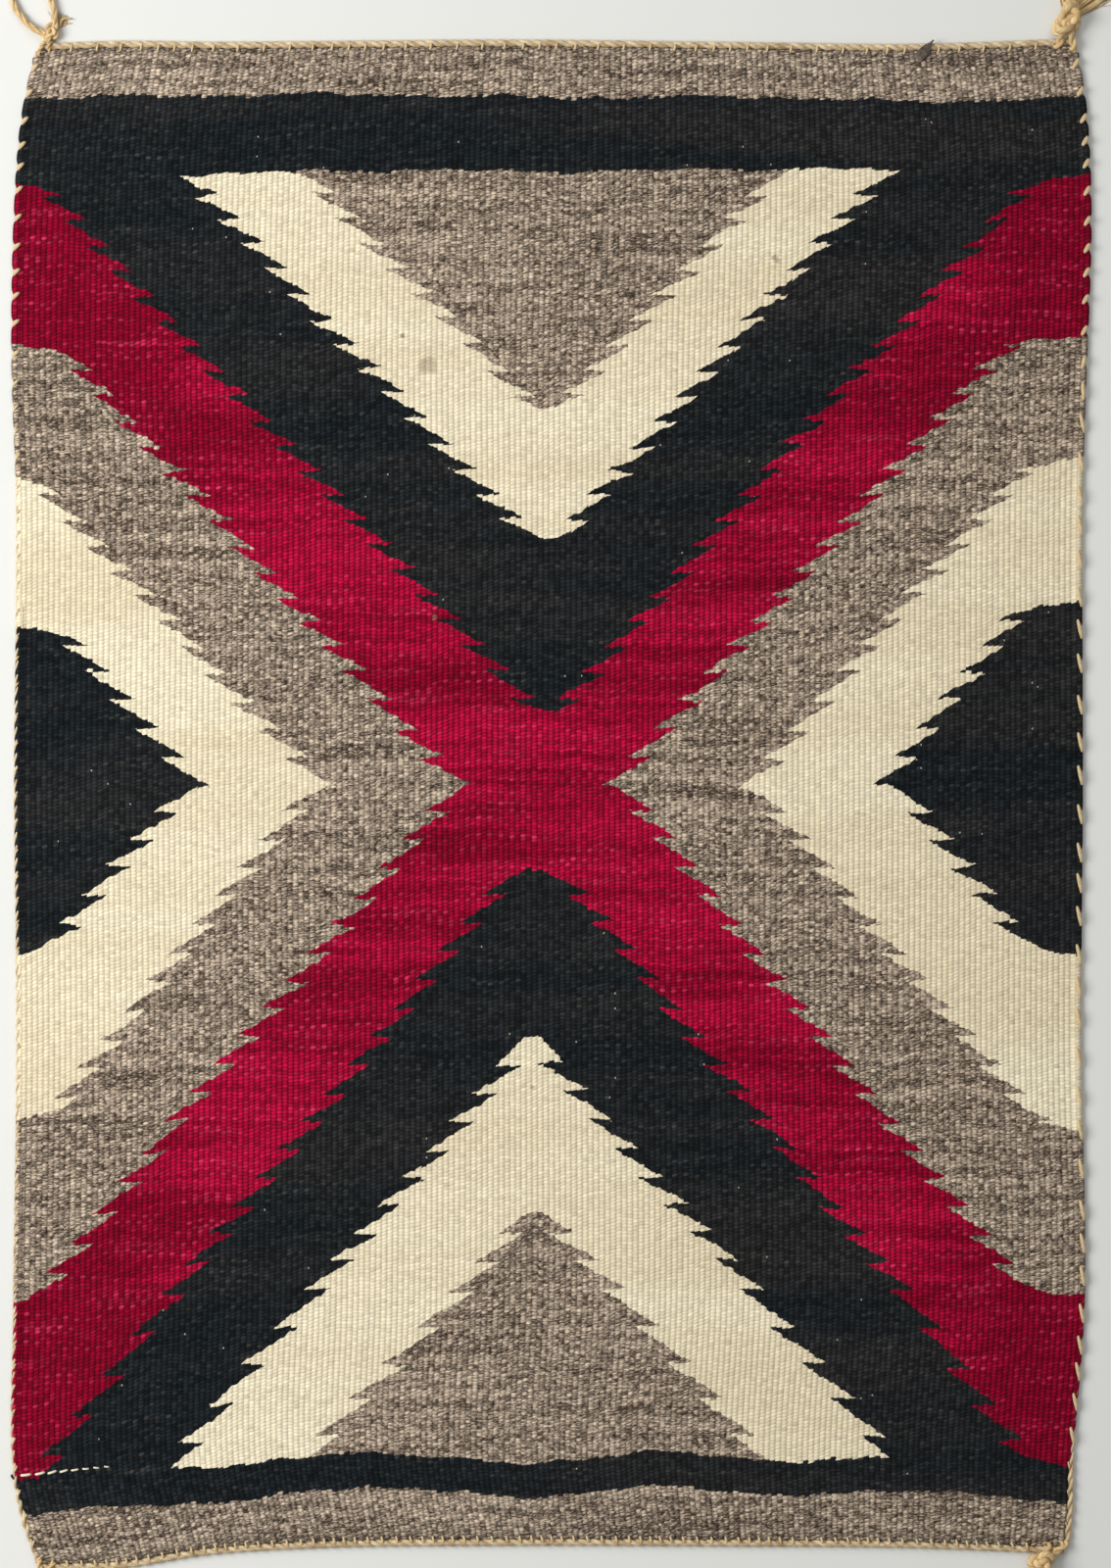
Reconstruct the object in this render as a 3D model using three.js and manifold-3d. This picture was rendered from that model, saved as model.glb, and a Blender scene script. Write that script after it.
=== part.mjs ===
// A hand-woven tapestry rug, lying flat: the woven field, the twined cords that edge it on
// all four sides, the knotted cord ends at its corners, and one loose end of weft.
// Millimetres. +X runs across the rug along the wefts, +Y runs along the warps from the
// foot to the head, +Z is up, and the rug lies on z = 0.

import * as THREE from "three";
import { mergeVertices } from "three/addons/utils/BufferGeometryUtils.js";
import Module from "manifold-3d";

// Driving dimensions of the cloth and its cords
const RUG_WIDTH = 610; // over the side cords
const RUG_LENGTH = 858; // over the end cords
const CLOTH_THICKNESS = 4;
const EDGE_ROUNDING = 1.2; // the wefts turn back round the outermost warps
const END_CORD_DIAMETER = 4.4;
const SIDE_CORD_DIAMETER = 3.2;
const SEAT_GAP = 0.3; // between a piece and what it lies against

const FIELD_HALF_WIDTH = RUG_WIDTH / 2 - SIDE_CORD_DIAMETER - SEAT_GAP;
const FIELD_HALF_LENGTH = RUG_LENGTH / 2 - END_CORD_DIAMETER - SEAT_GAP;

// How far the two sides are drawn in from a true rectangle, from the foot to the head
const SIDE_DRAW = [
  { along: -424, left: 11.5, right: 9.5 },
  { along: -405, left: 5.0, right: 7.6 },
  { along: -380, left: -1.0, right: 7.0 },
  { along: -290, left: -1.4, right: 0.4 },
  { along: -140, left: 0.6, right: 2.4 },
  { along: 0, left: -0.8, right: 1.6 },
  { along: 170, left: 0.4, right: 1.6 },
  { along: 240, left: -1.8, right: -0.4 },
  { along: 330, left: -0.6, right: -3.0 },
  { along: 385, left: 3.4, right: -0.8 },
  { along: 424, left: 11.0, right: 4.6 },
];

// How far the two ends run out past a true rectangle, from the left to the right
const END_RUN_OUT = [
  { across: -302, head: -1.6, foot: 13.4 },
  { across: -255, head: 0.0, foot: 12.2 },
  { across: -205, head: -0.6, foot: 4.8 },
  { across: -140, head: -0.2, foot: 0.8 },
  { across: -30, head: 0.6, foot: -0.6 },
  { across: 110, head: -0.8, foot: -0.2 },
  { across: 205, head: -1.8, foot: 0.6 },
  { across: 302, head: 1.2, foot: 4.0 },
];

const POINTS_ALONG_AN_END = 28;
const POINTS_ALONG_A_SIDE = 36;
const EDGE_ROUNDING_STEPS = 2;
const CORD_SECTION_SIDES = 8;
const CORD_STEPS = 48;

// The knot that gathers the cords at a corner, and the cord ends that lie out from it
const KNOT_TURNS = 3; // turns of cord round the knot
const KNOT_TURN_RELIEF = 1.3;
const KNOT_FLATTENING = 0.78; // its height over its width
const KNOT_SUNK = 0.6; // pressed flat where it lies
const KNOT_PROFILE_STEPS = 15;
const KNOT_SEGMENTS = 12;
const KNOT_CLEARANCE = 0.4; // round it, for the cords that run up to it
const STRAND_WIDTH = 2.2;
const STRAND_STEPS = 9;
const STRAND_CURL = 3.4; // how far a strand swings to each side of its straight line

const DEGREE = Math.PI / 180;

// side and end pick the corner (-1 left or foot, 1 right or head). The knot's root is set off
// from the field's corner by rootX and rootY. heading is the way its strands lie, in degrees.
const CORNER_TIES = [
  {
    name: "head_left", side: -1, end: 1, rootX: 2.8, rootY: 4.5, heading: 62,
    knotLength: 13, knotRadius: 5.4, strands: 3, fan: 36, reach: 19,
  },
  {
    name: "head_right", side: 1, end: 1, rootX: -8, rootY: 4, heading: 64,
    knotLength: 22, knotRadius: 9, strands: 7, fan: 66, reach: 42,
  },
  {
    name: "foot_left", side: -1, end: -1, rootX: 3, rootY: -4, heading: -104,
    knotLength: 16, knotRadius: 7, strands: 7, fan: 60, reach: 38,
  },
  {
    name: "foot_right", side: 1, end: -1, rootX: -10, rootY: -1.2, heading: -108,
    knotLength: 17, knotRadius: 9, strands: 7, fan: 60, reach: 38,
  },
];

// The head-left tie also has a loop of cord
const LOOP_TIE = "head_left";
const LOOP_WIDTH = 18;
const LOOP_REACH = 38;
const LOOP_CORD_WIDTH = 3;
const LOOP_LEAN = 58 * DEGREE; // to the left of the tie's own heading
const LOOP_STEPS = 22;

// The loose end of grey weft that lies over the head cord
const LOOSE_END = { across: 212, length: 13, width: 5.2, thickness: 1.2, lean: 32 * DEGREE };

const COLOURS = {
  field: 0x232526,
  cord: 0xc6a269,
  tie: 0xcba76c,
  looseEnd: 0x7b6e64,
};

const wasm = await Module();
wasm.setup();

function woolMaterial(colour) {
  return new THREE.MeshStandardMaterial({ color: colour, roughness: 0.95, metalness: 0 });
}

// A smooth curve through one column of a table, over its station column
function tableCurve(rows, stationColumn, valueColumn) {
  const stations = rows.map((row) => row[stationColumn]);
  const values = rows.map((row) => row[valueColumn]);
  const curve = new THREE.CubicInterpolant(stations, values, 1, new Float64Array(1));
  return (station) => curve.evaluate(station)[0];
}

const leftDraw = tableCurve(SIDE_DRAW, "along", "left");
const rightDraw = tableCurve(SIDE_DRAW, "along", "right");
const headRunOut = tableCurve(END_RUN_OUT, "across", "head");
const footRunOut = tableCurve(END_RUN_OUT, "across", "foot");

// The place of a point of the field from its share of the width and of the length, 0 to 1
function fieldPoint(acrossShare, alongShare) {
  const trueX = (2 * acrossShare - 1) * FIELD_HALF_WIDTH;
  const trueY = (2 * alongShare - 1) * FIELD_HALF_LENGTH;
  const left = -FIELD_HALF_WIDTH + leftDraw(trueY);
  const right = FIELD_HALF_WIDTH - rightDraw(trueY);
  const foot = -FIELD_HALF_LENGTH - footRunOut(trueX);
  const head = FIELD_HALF_LENGTH + headRunOut(trueX);
  return new THREE.Vector2(
    THREE.MathUtils.lerp(left, right, acrossShare),
    THREE.MathUtils.lerp(foot, head, alongShare),
  );
}

// Evenly spaced shares from 0 up to, and not including, 1
function sharesOf(count) {
  return Array.from({ length: count }, (_, step) => step / count);
}

// The field: its outline, anticlockwise from the foot's left corner, given the cloth's thickness
function wovenFieldGeometry() {
  const endShares = sharesOf(POINTS_ALONG_AN_END);
  const sideShares = sharesOf(POINTS_ALONG_A_SIDE);
  const outline = new THREE.Shape([
    ...endShares.map((share) => fieldPoint(share, 0)),
    ...sideShares.map((share) => fieldPoint(1, share)),
    ...endShares.map((share) => fieldPoint(1 - share, 1)),
    ...sideShares.map((share) => fieldPoint(0, 1 - share)),
  ]);
  return new THREE.ExtrudeGeometry(outline, {
    depth: CLOTH_THICKNESS - 2 * EDGE_ROUNDING,
    bevelEnabled: true,
    bevelThickness: EDGE_ROUNDING,
    bevelSize: EDGE_ROUNDING,
    bevelOffset: -EDGE_ROUNDING,
    bevelSegments: EDGE_ROUNDING_STEPS,
  }).translate(0, 0, EDGE_ROUNDING);
}

// A cord laid along an edge of the field. edgePoint gives the edge, and outward its way out.
function edgeCordGeometry(edgePoint, outward, diameter) {
  const standOff = outward.clone().multiplyScalar(diameter / 2 + SEAT_GAP);
  const route = [];
  for (let step = 0; step <= CORD_STEPS; step++) {
    const place = edgePoint(step / CORD_STEPS).add(standOff);
    route.push(new THREE.Vector3(place.x, place.y, diameter / 2));
  }
  const section = new THREE.Shape().absarc(0, 0, diameter / 2, 0, 2 * Math.PI);
  return new THREE.ExtrudeGeometry(section, {
    extrudePath: new THREE.CatmullRomCurve3(route),
    steps: CORD_STEPS,
    curveSegments: CORD_SECTION_SIDES / 2,
  });
}

// A closed mesh as a solid that can be joined and cut
function solidOf(geometry) {
  const bare = geometry.clone();
  bare.deleteAttribute("normal");
  bare.deleteAttribute("uv");
  const merged = mergeVertices(bare, 1e-4);
  return new wasm.Manifold(
    new wasm.Mesh({
      numProp: 3,
      vertProperties: new Float32Array(merged.attributes.position.array),
      triVerts: new Uint32Array(merged.index.array),
    }),
  );
}

function geometryOf(solid) {
  const { vertProperties, triVerts } = solid.getMesh();
  const geometry = new THREE.BufferGeometry();
  geometry.setAttribute("position", new THREE.BufferAttribute(vertProperties, 3));
  geometry.setIndex(new THREE.BufferAttribute(triVerts, 1));
  geometry.computeVertexNormals();
  return geometry;
}

// Where a tie's knot begins, beside the field's corner
function tieRoot(tie) {
  const corner = fieldPoint((tie.side + 1) / 2, (tie.end + 1) / 2);
  return corner.add(new THREE.Vector2(tie.rootX, tie.rootY));
}

// A knot: a spindle turned about the tie's heading, with a ridge for each turn of cord,
// a little flattened, and cut level where it lies. grown adds that much all round.
function knotSolid(tie, grown = 0) {
  const { knotLength, knotRadius } = tie;
  const profile = [];
  for (let step = 0; step <= KNOT_PROFILE_STEPS; step++) {
    const share = step / KNOT_PROFILE_STEPS;
    const spindle = knotRadius * Math.sqrt(Math.sin(Math.PI * share));
    const ridge = KNOT_TURN_RELIEF * Math.sin(KNOT_TURNS * Math.PI * share) ** 2;
    const onAxis = step === 0 || step === KNOT_PROFILE_STEPS;
    const radius = onAxis ? 0 : spindle - KNOT_TURN_RELIEF + ridge + grown;
    profile.push(new THREE.Vector2(radius, share * (knotLength + 2 * grown) - grown));
  }
  const root = tieRoot(tie);
  const height = knotRadius * KNOT_FLATTENING - KNOT_SUNK;
  const knot = new THREE.LatheGeometry(profile, KNOT_SEGMENTS)
    .rotateZ(tie.heading * DEGREE - Math.PI / 2)
    .scale(1, 1, KNOT_FLATTENING)
    .translate(root.x, root.y, height);
  const aboveFloor = new THREE.BoxGeometry(4 * knotLength, 4 * knotLength, 4 * knotRadius)
    .translate(root.x, root.y, 2 * knotRadius);
  return solidOf(knot).intersect(solidOf(aboveFloor));
}

// A four-sided strand on the floor, level from end to end, along points in plan
function strandSolid(plan, width, steps) {
  const route = plan.map((place) => new THREE.Vector3(place.x, place.y, width / 2));
  const half = width / 2;
  const section = new THREE.Shape([
    new THREE.Vector2(-half, -half),
    new THREE.Vector2(half, -half),
    new THREE.Vector2(half, half),
    new THREE.Vector2(-half, half),
  ]);
  return solidOf(
    new THREE.ExtrudeGeometry(section, { extrudePath: new THREE.CatmullRomCurve3(route), steps }),
  );
}

// The point that is forward of a place along a heading, and to its left
function planPoint(from, heading, forward, leftward) {
  return new THREE.Vector2(
    from.x + forward * Math.cos(heading) - leftward * Math.sin(heading),
    from.y + forward * Math.sin(heading) + leftward * Math.cos(heading),
  );
}

// The fan of cord ends that lie out from a knot, each swinging a little to one side and back
function fanStrands(tie) {
  const middle = planPoint(tieRoot(tie), tie.heading * DEGREE, tie.knotLength / 2, 0);
  return Array.from({ length: tie.strands }, (_, index) => {
    const share = index / (tie.strands - 1) - 0.5;
    const heading = (tie.heading + share * tie.fan) * DEGREE;
    const reach = tie.reach * (1 - 0.16 * (index % 3) / 2);
    const swing = STRAND_CURL * share * 2;
    const plan = [
      planPoint(middle, heading, 0, 0),
      planPoint(middle, heading, 0.45 * reach, 0),
      planPoint(middle, heading, 0.75 * reach, swing / 2),
      planPoint(middle, heading, reach, swing),
    ];
    return strandSolid(plan, STRAND_WIDTH, STRAND_STEPS);
  });
}

// The loop: out along one leg, round its top and back down the other leg into the knot
function loopStrand(tie) {
  const heading = tie.heading * DEGREE + LOOP_LEAN;
  const middle = planPoint(tieRoot(tie), tie.heading * DEGREE, tie.knotLength / 2, 0);
  const half = LOOP_WIDTH / 2;
  const plan = [
    planPoint(middle, heading, 0, half / 3),
    planPoint(middle, heading, LOOP_REACH / 3, half),
    planPoint(middle, heading, LOOP_REACH * 0.75, half),
    planPoint(middle, heading, LOOP_REACH, 0),
    planPoint(middle, heading, LOOP_REACH * 0.75, -half),
    planPoint(middle, heading, LOOP_REACH / 3, -half),
    planPoint(middle, heading, 0, -half / 3),
  ];
  return strandSolid(plan, LOOP_CORD_WIDTH, LOOP_STEPS);
}

function cornerTieGeometry(tie) {
  const strands = fanStrands(tie);
  if (tie.name === LOOP_TIE) strands.push(loopStrand(tie));
  const whole = strands.reduce((joined, strand) => joined.add(strand), knotSolid(tie));
  return geometryOf(whole);
}

// A cord cut back from the knots at its ends, so that it runs up to them and stops
function cordBetweenKnots(cordGeometry) {
  const cut = CORNER_TIES.reduce(
    (cord, tie) => cord.subtract(knotSolid(tie, KNOT_CLEARANCE)),
    solidOf(cordGeometry),
  );
  const longest = cut.decompose().reduce((a, b) => (a.volume() > b.volume() ? a : b));
  return geometryOf(longest);
}

// The loose end: a leaf of weft lying over the head cord, pointed where it frays out
function looseEndGeometry() {
  const { length, width, thickness } = LOOSE_END;
  const leaf = new THREE.Shape();
  leaf.moveTo(-width / 2, 0);
  leaf.lineTo(width / 2, 0);
  leaf.quadraticCurveTo(width * 0.6, length * 0.6, width * 0.1, length);
  leaf.quadraticCurveTo(-width * 0.4, length * 0.7, -width / 2, 0);
  return new THREE.ExtrudeGeometry(leaf, { depth: thickness, bevelEnabled: false, curveSegments: 4 });
}

const rug = new THREE.Group();

function addPiece(name, geometry, colour) {
  const piece = new THREE.Mesh(geometry, woolMaterial(colour));
  piece.name = name;
  rug.add(piece);
  return piece;
}

addPiece("woven_field", wovenFieldGeometry(), COLOURS.field);

const EDGE_CORDS = [
  { name: "end_cord_head", edge: (at) => fieldPoint(at, 1), out: [0, 1], diameter: END_CORD_DIAMETER },
  { name: "end_cord_foot", edge: (at) => fieldPoint(at, 0), out: [0, -1], diameter: END_CORD_DIAMETER },
  { name: "side_cord_left", edge: (at) => fieldPoint(0, at), out: [-1, 0], diameter: SIDE_CORD_DIAMETER },
  { name: "side_cord_right", edge: (at) => fieldPoint(1, at), out: [1, 0], diameter: SIDE_CORD_DIAMETER },
];
for (const { name, edge, out, diameter } of EDGE_CORDS) {
  const laid = edgeCordGeometry(edge, new THREE.Vector2(...out), diameter);
  addPiece(name, cordBetweenKnots(laid), COLOURS.cord);
}

for (const tie of CORNER_TIES) {
  addPiece(`corner_tie_${tie.name}`, cornerTieGeometry(tie), COLOURS.tie);
}

const looseEnd = addPiece("loose_weft_end", looseEndGeometry(), COLOURS.looseEnd);
looseEnd.rotation.z = -LOOSE_END.lean;
looseEnd.position.set(
  LOOSE_END.across,
  FIELD_HALF_LENGTH + headRunOut(LOOSE_END.across) - LOOSE_END.length / 3,
  END_CORD_DIAMETER + SEAT_GAP,
);

// The part's origin is under the middle of everything that is built
const part = new THREE.Group();
part.add(rug);
part.updateMatrixWorld(true);
const extent = new THREE.Box3().setFromObject(rug, true);
const centre = extent.getCenter(new THREE.Vector3());
rug.position.set(-centre.x, -centre.y, -extent.min.z);

export default part;
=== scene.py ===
# %% [markdown]
# # A small tapestry rug, lying flat
# The rug is one cloth, woven so tightly that only its wool wefts show, with twisted tan cords
# along its four edges and a knot of cord at each corner. This lesson dresses the plain solids of
# the frame with that cloth, those cords and those knots. Every new piece is a surface worked out
# with numpy, in metres, in the frame's own coordinates.

import bpy
import numpy as np
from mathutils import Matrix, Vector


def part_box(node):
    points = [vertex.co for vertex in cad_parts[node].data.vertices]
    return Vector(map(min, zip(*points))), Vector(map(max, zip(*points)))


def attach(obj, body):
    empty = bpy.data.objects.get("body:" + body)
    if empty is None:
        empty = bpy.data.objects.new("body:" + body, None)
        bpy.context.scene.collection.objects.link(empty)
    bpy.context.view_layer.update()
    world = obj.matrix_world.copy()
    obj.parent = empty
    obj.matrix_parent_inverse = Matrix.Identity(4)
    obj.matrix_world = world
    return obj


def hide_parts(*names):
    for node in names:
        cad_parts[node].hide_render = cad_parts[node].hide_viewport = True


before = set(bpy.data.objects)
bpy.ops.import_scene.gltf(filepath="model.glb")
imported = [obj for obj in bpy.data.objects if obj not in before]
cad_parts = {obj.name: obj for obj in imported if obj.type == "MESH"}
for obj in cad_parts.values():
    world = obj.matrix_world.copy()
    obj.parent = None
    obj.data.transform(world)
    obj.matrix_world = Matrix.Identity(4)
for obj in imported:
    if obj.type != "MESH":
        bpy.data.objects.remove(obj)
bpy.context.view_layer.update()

MM = 0.001

# %% [markdown]
# ## The camera
# The rug was seen from straight above, with the head end at the top of the picture and the ties
# at the corners partly out of view. A long lens from high up shows it with hardly any
# perspective. The picture is 1134 by 1600, and one of its pixels is 0.5576 mm of rug, which gives
# the height of the view; the lens then gives the distance.

# %% Camera
PICTURE_HEIGHT = 1600
PIXEL = 0.5576 * MM
VIEW_OFF_CENTRE = np.array([2.8, 11.7]) * MM  # the picture's middle from the field's own middle
LENS, SENSOR = 85.0, 36.0

field_low, field_high = (np.array(corner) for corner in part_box("woven_field"))
field_middle = (field_low + field_high) / 2
view_middle = field_middle[:2] + VIEW_OFF_CENTRE
view_distance = PICTURE_HEIGHT * PIXEL * LENS / SENSOR

camera_data = bpy.data.cameras.new("camera")
camera_data.lens = LENS
camera_data.sensor_width = SENSOR
camera = bpy.data.objects.new("camera", camera_data)
camera.location = (view_middle[0], view_middle[1], field_high[2] + view_distance)
bpy.context.collection.objects.link(camera)
bpy.context.scene.camera = camera
print("camera", round(view_distance, 2), "m above the cloth")

# %% [markdown]
# ## Meshes from arrays
# Blender's mesh is a list of points and a list of faces. Both come here from numpy: a grid of
# points, whose faces join each point to its neighbours, and flat caps that close the ends. A
# point attribute named weave carries the cloth's own coordinates to the materials.


# %% Mesh helpers
def grid_faces(rows, columns, start=0):
    """Quads of a rows by columns grid that closes on itself along its columns. Point (i, j) has
    the number start + i * columns + j."""
    row, column = np.meshgrid(np.arange(rows - 1), np.arange(columns), indexing="ij")
    beside = (column + 1) % columns
    corners = [row * columns + column, row * columns + beside]
    corners += [(row + 1) * columns + beside, (row + 1) * columns + column]
    return start + np.stack(corners, axis=-1).reshape(-1, 4)


def end_caps(rows, columns, start=0):
    """The two faces that close the first and the last ring of a grid."""
    ring = np.arange(columns)
    return [start + ring[::-1], start + (rows - 1) * columns + ring]


def add_piece(name, points, quads, caps, weave):
    """A smooth mesh object from points (n, 3), quads (m, 4), caps and the weave attribute (n, 3)."""
    mesh = bpy.data.meshes.new(name)
    sizes = np.concatenate([np.full(len(quads), 4), [len(cap) for cap in caps]]).astype(np.int32)
    corners = np.concatenate([quads.ravel(), *caps]).astype(np.int32)
    mesh.vertices.add(len(points))
    mesh.vertices.foreach_set("co", points.astype(np.float32).ravel())
    mesh.loops.add(len(corners))
    mesh.loops.foreach_set("vertex_index", corners)
    mesh.polygons.add(len(sizes))
    starts = np.cumsum(sizes) - sizes
    mesh.polygons.foreach_set("loop_start", starts.astype(np.int32))
    mesh.update(calc_edges=True)
    mesh.polygons.foreach_set("use_smooth", np.arange(len(sizes)) < len(quads))
    attribute = mesh.attributes.new("weave", "FLOAT_VECTOR", "POINT")
    attribute.data.foreach_set("vector", weave.astype(np.float32).ravel())
    mesh.validate()
    piece = bpy.data.objects.new(name, mesh)
    bpy.context.collection.objects.link(piece)
    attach(piece, "root")
    print(name, len(points), "points,", len(sizes), "faces")
    return piece


# %% [markdown]
# ## Where the cloth lies
# No hand-woven rug is a true rectangle. The sides draw in towards the corners, and the foot runs
# out at its left corner. Two short tables hold those departures, and a smooth curve through each
# gives any point of the cloth from its share of the width and of the length.

# %% Outline of the cloth
HALF_WIDTH, HALF_LENGTH = 301.5 * MM, 424.3 * MM
SIDE_DRAW = np.array([  # along, left drawn in, right drawn in
    [-424, 11.5, 9.5], [-405, 5.0, 7.6], [-380, -1.0, 7.0], [-290, -1.4, 0.4],
    [-140, 0.6, 2.4], [0, -0.8, 1.6], [170, 0.4, 1.6], [240, -1.8, -0.4],
    [330, -0.6, -3.0], [385, 3.4, -0.8], [424, 11.0, 4.6],
]) * MM
END_RUN_OUT = np.array([  # across, head run out, foot run out
    [-302, -1.6, 13.4], [-255, 0.0, 12.2], [-205, -0.6, 4.8], [-140, -0.2, 0.8],
    [-30, 0.6, -0.6], [110, -0.8, -0.2], [205, -1.8, 0.6], [302, 1.2, 4.0],
]) * MM


def smooth_curve(at, stations, values):
    """A cubic through the values at the stations, whose slope at each station is the mean of the
    two chords that meet there."""
    chord = np.diff(values) / np.diff(stations)
    slope = np.concatenate([chord[:1], (chord[1:] + chord[:-1]) / 2, chord[-1:]])
    at = np.clip(at, stations[0], stations[-1])
    k = np.clip(np.searchsorted(stations, at) - 1, 0, len(chord) - 1)
    width = stations[k + 1] - stations[k]
    u = (at - stations[k]) / width
    value = values[k] * (1 + 2 * u) * (1 - u) ** 2 + values[k + 1] * u**2 * (3 - 2 * u)
    return value + width * (slope[k] * u * (1 - u) ** 2 - slope[k + 1] * u**2 * (1 - u))


def laid_out(across, along):
    """x and y of the cloth at shares 0 to 1 of its width and length: straight lines across between
    the left and right edges, and along it a true length plus the run-out of the nearer end, which
    fades as the fourth power of the share."""
    true_x, true_y = (2 * across - 1) * HALF_WIDTH, (2 * along - 1) * HALF_LENGTH
    left = -HALF_WIDTH + smooth_curve(true_y, SIDE_DRAW[:, 0], SIDE_DRAW[:, 1])
    right = HALF_WIDTH - smooth_curve(true_y, SIDE_DRAW[:, 0], SIDE_DRAW[:, 2])
    head_out = smooth_curve(true_x, END_RUN_OUT[:, 0], END_RUN_OUT[:, 1])
    foot_out = smooth_curve(true_x, END_RUN_OUT[:, 0], END_RUN_OUT[:, 2])
    y = true_y + head_out * along**4 - foot_out * (1 - along) ** 4
    return left + (right - left) * across, y


edge_shares = np.linspace(0, 1, 400)
left_side = laid_out(0.0, edge_shares)[0]
foot_end = laid_out(edge_shares, 0.0)[1]
SHIFT = field_low[:2] - np.array([left_side.min(), foot_end.min()])


def cloth_point(across, along, height):
    """A point of the cloth in the frame, at a height above the floor."""
    x, y = laid_out(across, along)
    return np.stack(np.broadcast_arrays(x + SHIFT[0], y + SHIFT[1], height), axis=-1)


print("the cloth's own middle is at", np.round(SHIFT / MM, 2), "mm")

# %% [markdown]
# ## The cloth
# A weft-faced weave hides its warps, but each warp still shows as a rib that runs from the foot to
# the head. There are 190 of them, about 3.2 mm apart. The ribs are real geometry: four points to
# a rib. The beads of weft across each rib are far finer, so they are left to the material. The
# cross-section is one closed loop, ribbed above and flat below, carried along the length. The rows
# of weft are not quite straight, because they were beaten down by hand: they wander by half a row.

# %% Cloth surface
WARPS = 190
WARP_PITCH = 2 * HALF_WIDTH / WARPS
BEAD_ROWS = 424  # rows of weft beads from the foot to the head
ROW_PITCH = 2 * HALF_LENGTH / BEAD_ROWS
POINTS_PER_WARP = 4
CLOTH_ROWS = 108
CLOTH_THICKNESS = 4.0 * MM
RIB_DEPTH = 0.25 * MM
EDGE_INSET = 0.0013  # share of the width, where the edge rounds over
UNDERSIDE_COLUMNS = 41
PUCKER = 0.16 * MM
ROW_WAVES = np.array([  # waves across the rug, waves along it, start in turns, height in rows
    [2.3, 1.1, 0.07, 0.40], [5.7, -2.3, 0.40, 0.30], [11.0, 4.1, 0.85, 0.25], [23.0, -3.0, 0.20, 0.20],
])


def weft_row(across, along):
    """The row of weft at shares of the width and length: even rows plus a few slow sine waves."""
    turns = [waves_across * across + waves_along * along + start
             for waves_across, waves_along, start, _ in ROW_WAVES]
    wander = sum(height * np.sin(2 * np.pi * turn) for height, turn in zip(ROW_WAVES[:, 3], turns))
    return along * BEAD_ROWS + wander


top_across = np.linspace(EDGE_INSET, 1 - EDGE_INSET, WARPS * POINTS_PER_WARP + 1)
top_height = CLOTH_THICKNESS - RIB_DEPTH * (0.5 + 0.5 * np.cos(2 * np.pi * top_across * WARPS))
under_across = np.linspace(1 - EDGE_INSET, EDGE_INSET, UNDERSIDE_COLUMNS)
loop_across = np.concatenate([top_across, [1], under_across, [0]])
edge_height = [0.45 * CLOTH_THICKNESS]
loop_height = np.concatenate([top_height, edge_height, 0 * under_across, edge_height])
on_top = np.arange(len(loop_across)) < len(top_across)

along_rows = np.linspace(0, 1, CLOTH_ROWS)
across_grid, along_grid = np.meshgrid(loop_across, along_rows)
waves = np.sin(23 * across_grid + 11 * along_grid) * np.sin(31 * along_grid - 5 * across_grid)
waves += np.sin(9 * across_grid - 17 * along_grid + 1.3)
height_grid = loop_height + PUCKER * waves * on_top
last_top = len(top_across) - 1
top_parts = np.arange(last_top).reshape(UNDERSIDE_COLUMNS - 1, -1)
under = last_top + 1 + np.arange(UNDERSIDE_COLUMNS, 0, -1)
cloth_end = [np.array([*part, part[-1] + 1, under[k + 1], under[k]])
             for k, part in enumerate(top_parts)]
cloth_end += [last_top + np.arange(3), np.array([under[0], under[0] + 1, 0])]
last_row = (CLOTH_ROWS - 1) * len(loop_across)
cloth_weave = [across_grid * WARPS, weft_row(across_grid, along_grid), 0 * along_grid]
cloth = add_piece(
    "woven_cloth",
    cloth_point(across_grid, along_grid, height_grid).reshape(-1, 3),
    grid_faces(CLOTH_ROWS, len(loop_across)),
    [face[::-1] for face in cloth_end] + [face + last_row for face in cloth_end],
    np.stack(cloth_weave, axis=-1).reshape(-1, 3),
)
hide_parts("woven_field")

# %% [markdown]
# ## Nodes by arithmetic
# The rug's design is arithmetic on the thread that a point lies on, so its material is mostly
# Math nodes. A small helper makes a node, links or sets its inputs, and hands back its output, so
# that the cells below read as formulas. A picture laid on the cloth would be less work, but it
# blurs close up, and formulas keep every bead sharp.


# %% Node helpers
def rgb(red, green, blue):
    """A linear colour from the 0 to 255 values that a screen shows."""
    share = np.array([red, green, blue]) / 255
    linear = np.where(share <= 0.04045, share / 12.92, ((share + 0.055) / 1.055) ** 2.4)
    return (*linear.tolist(), 1.0)


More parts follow.
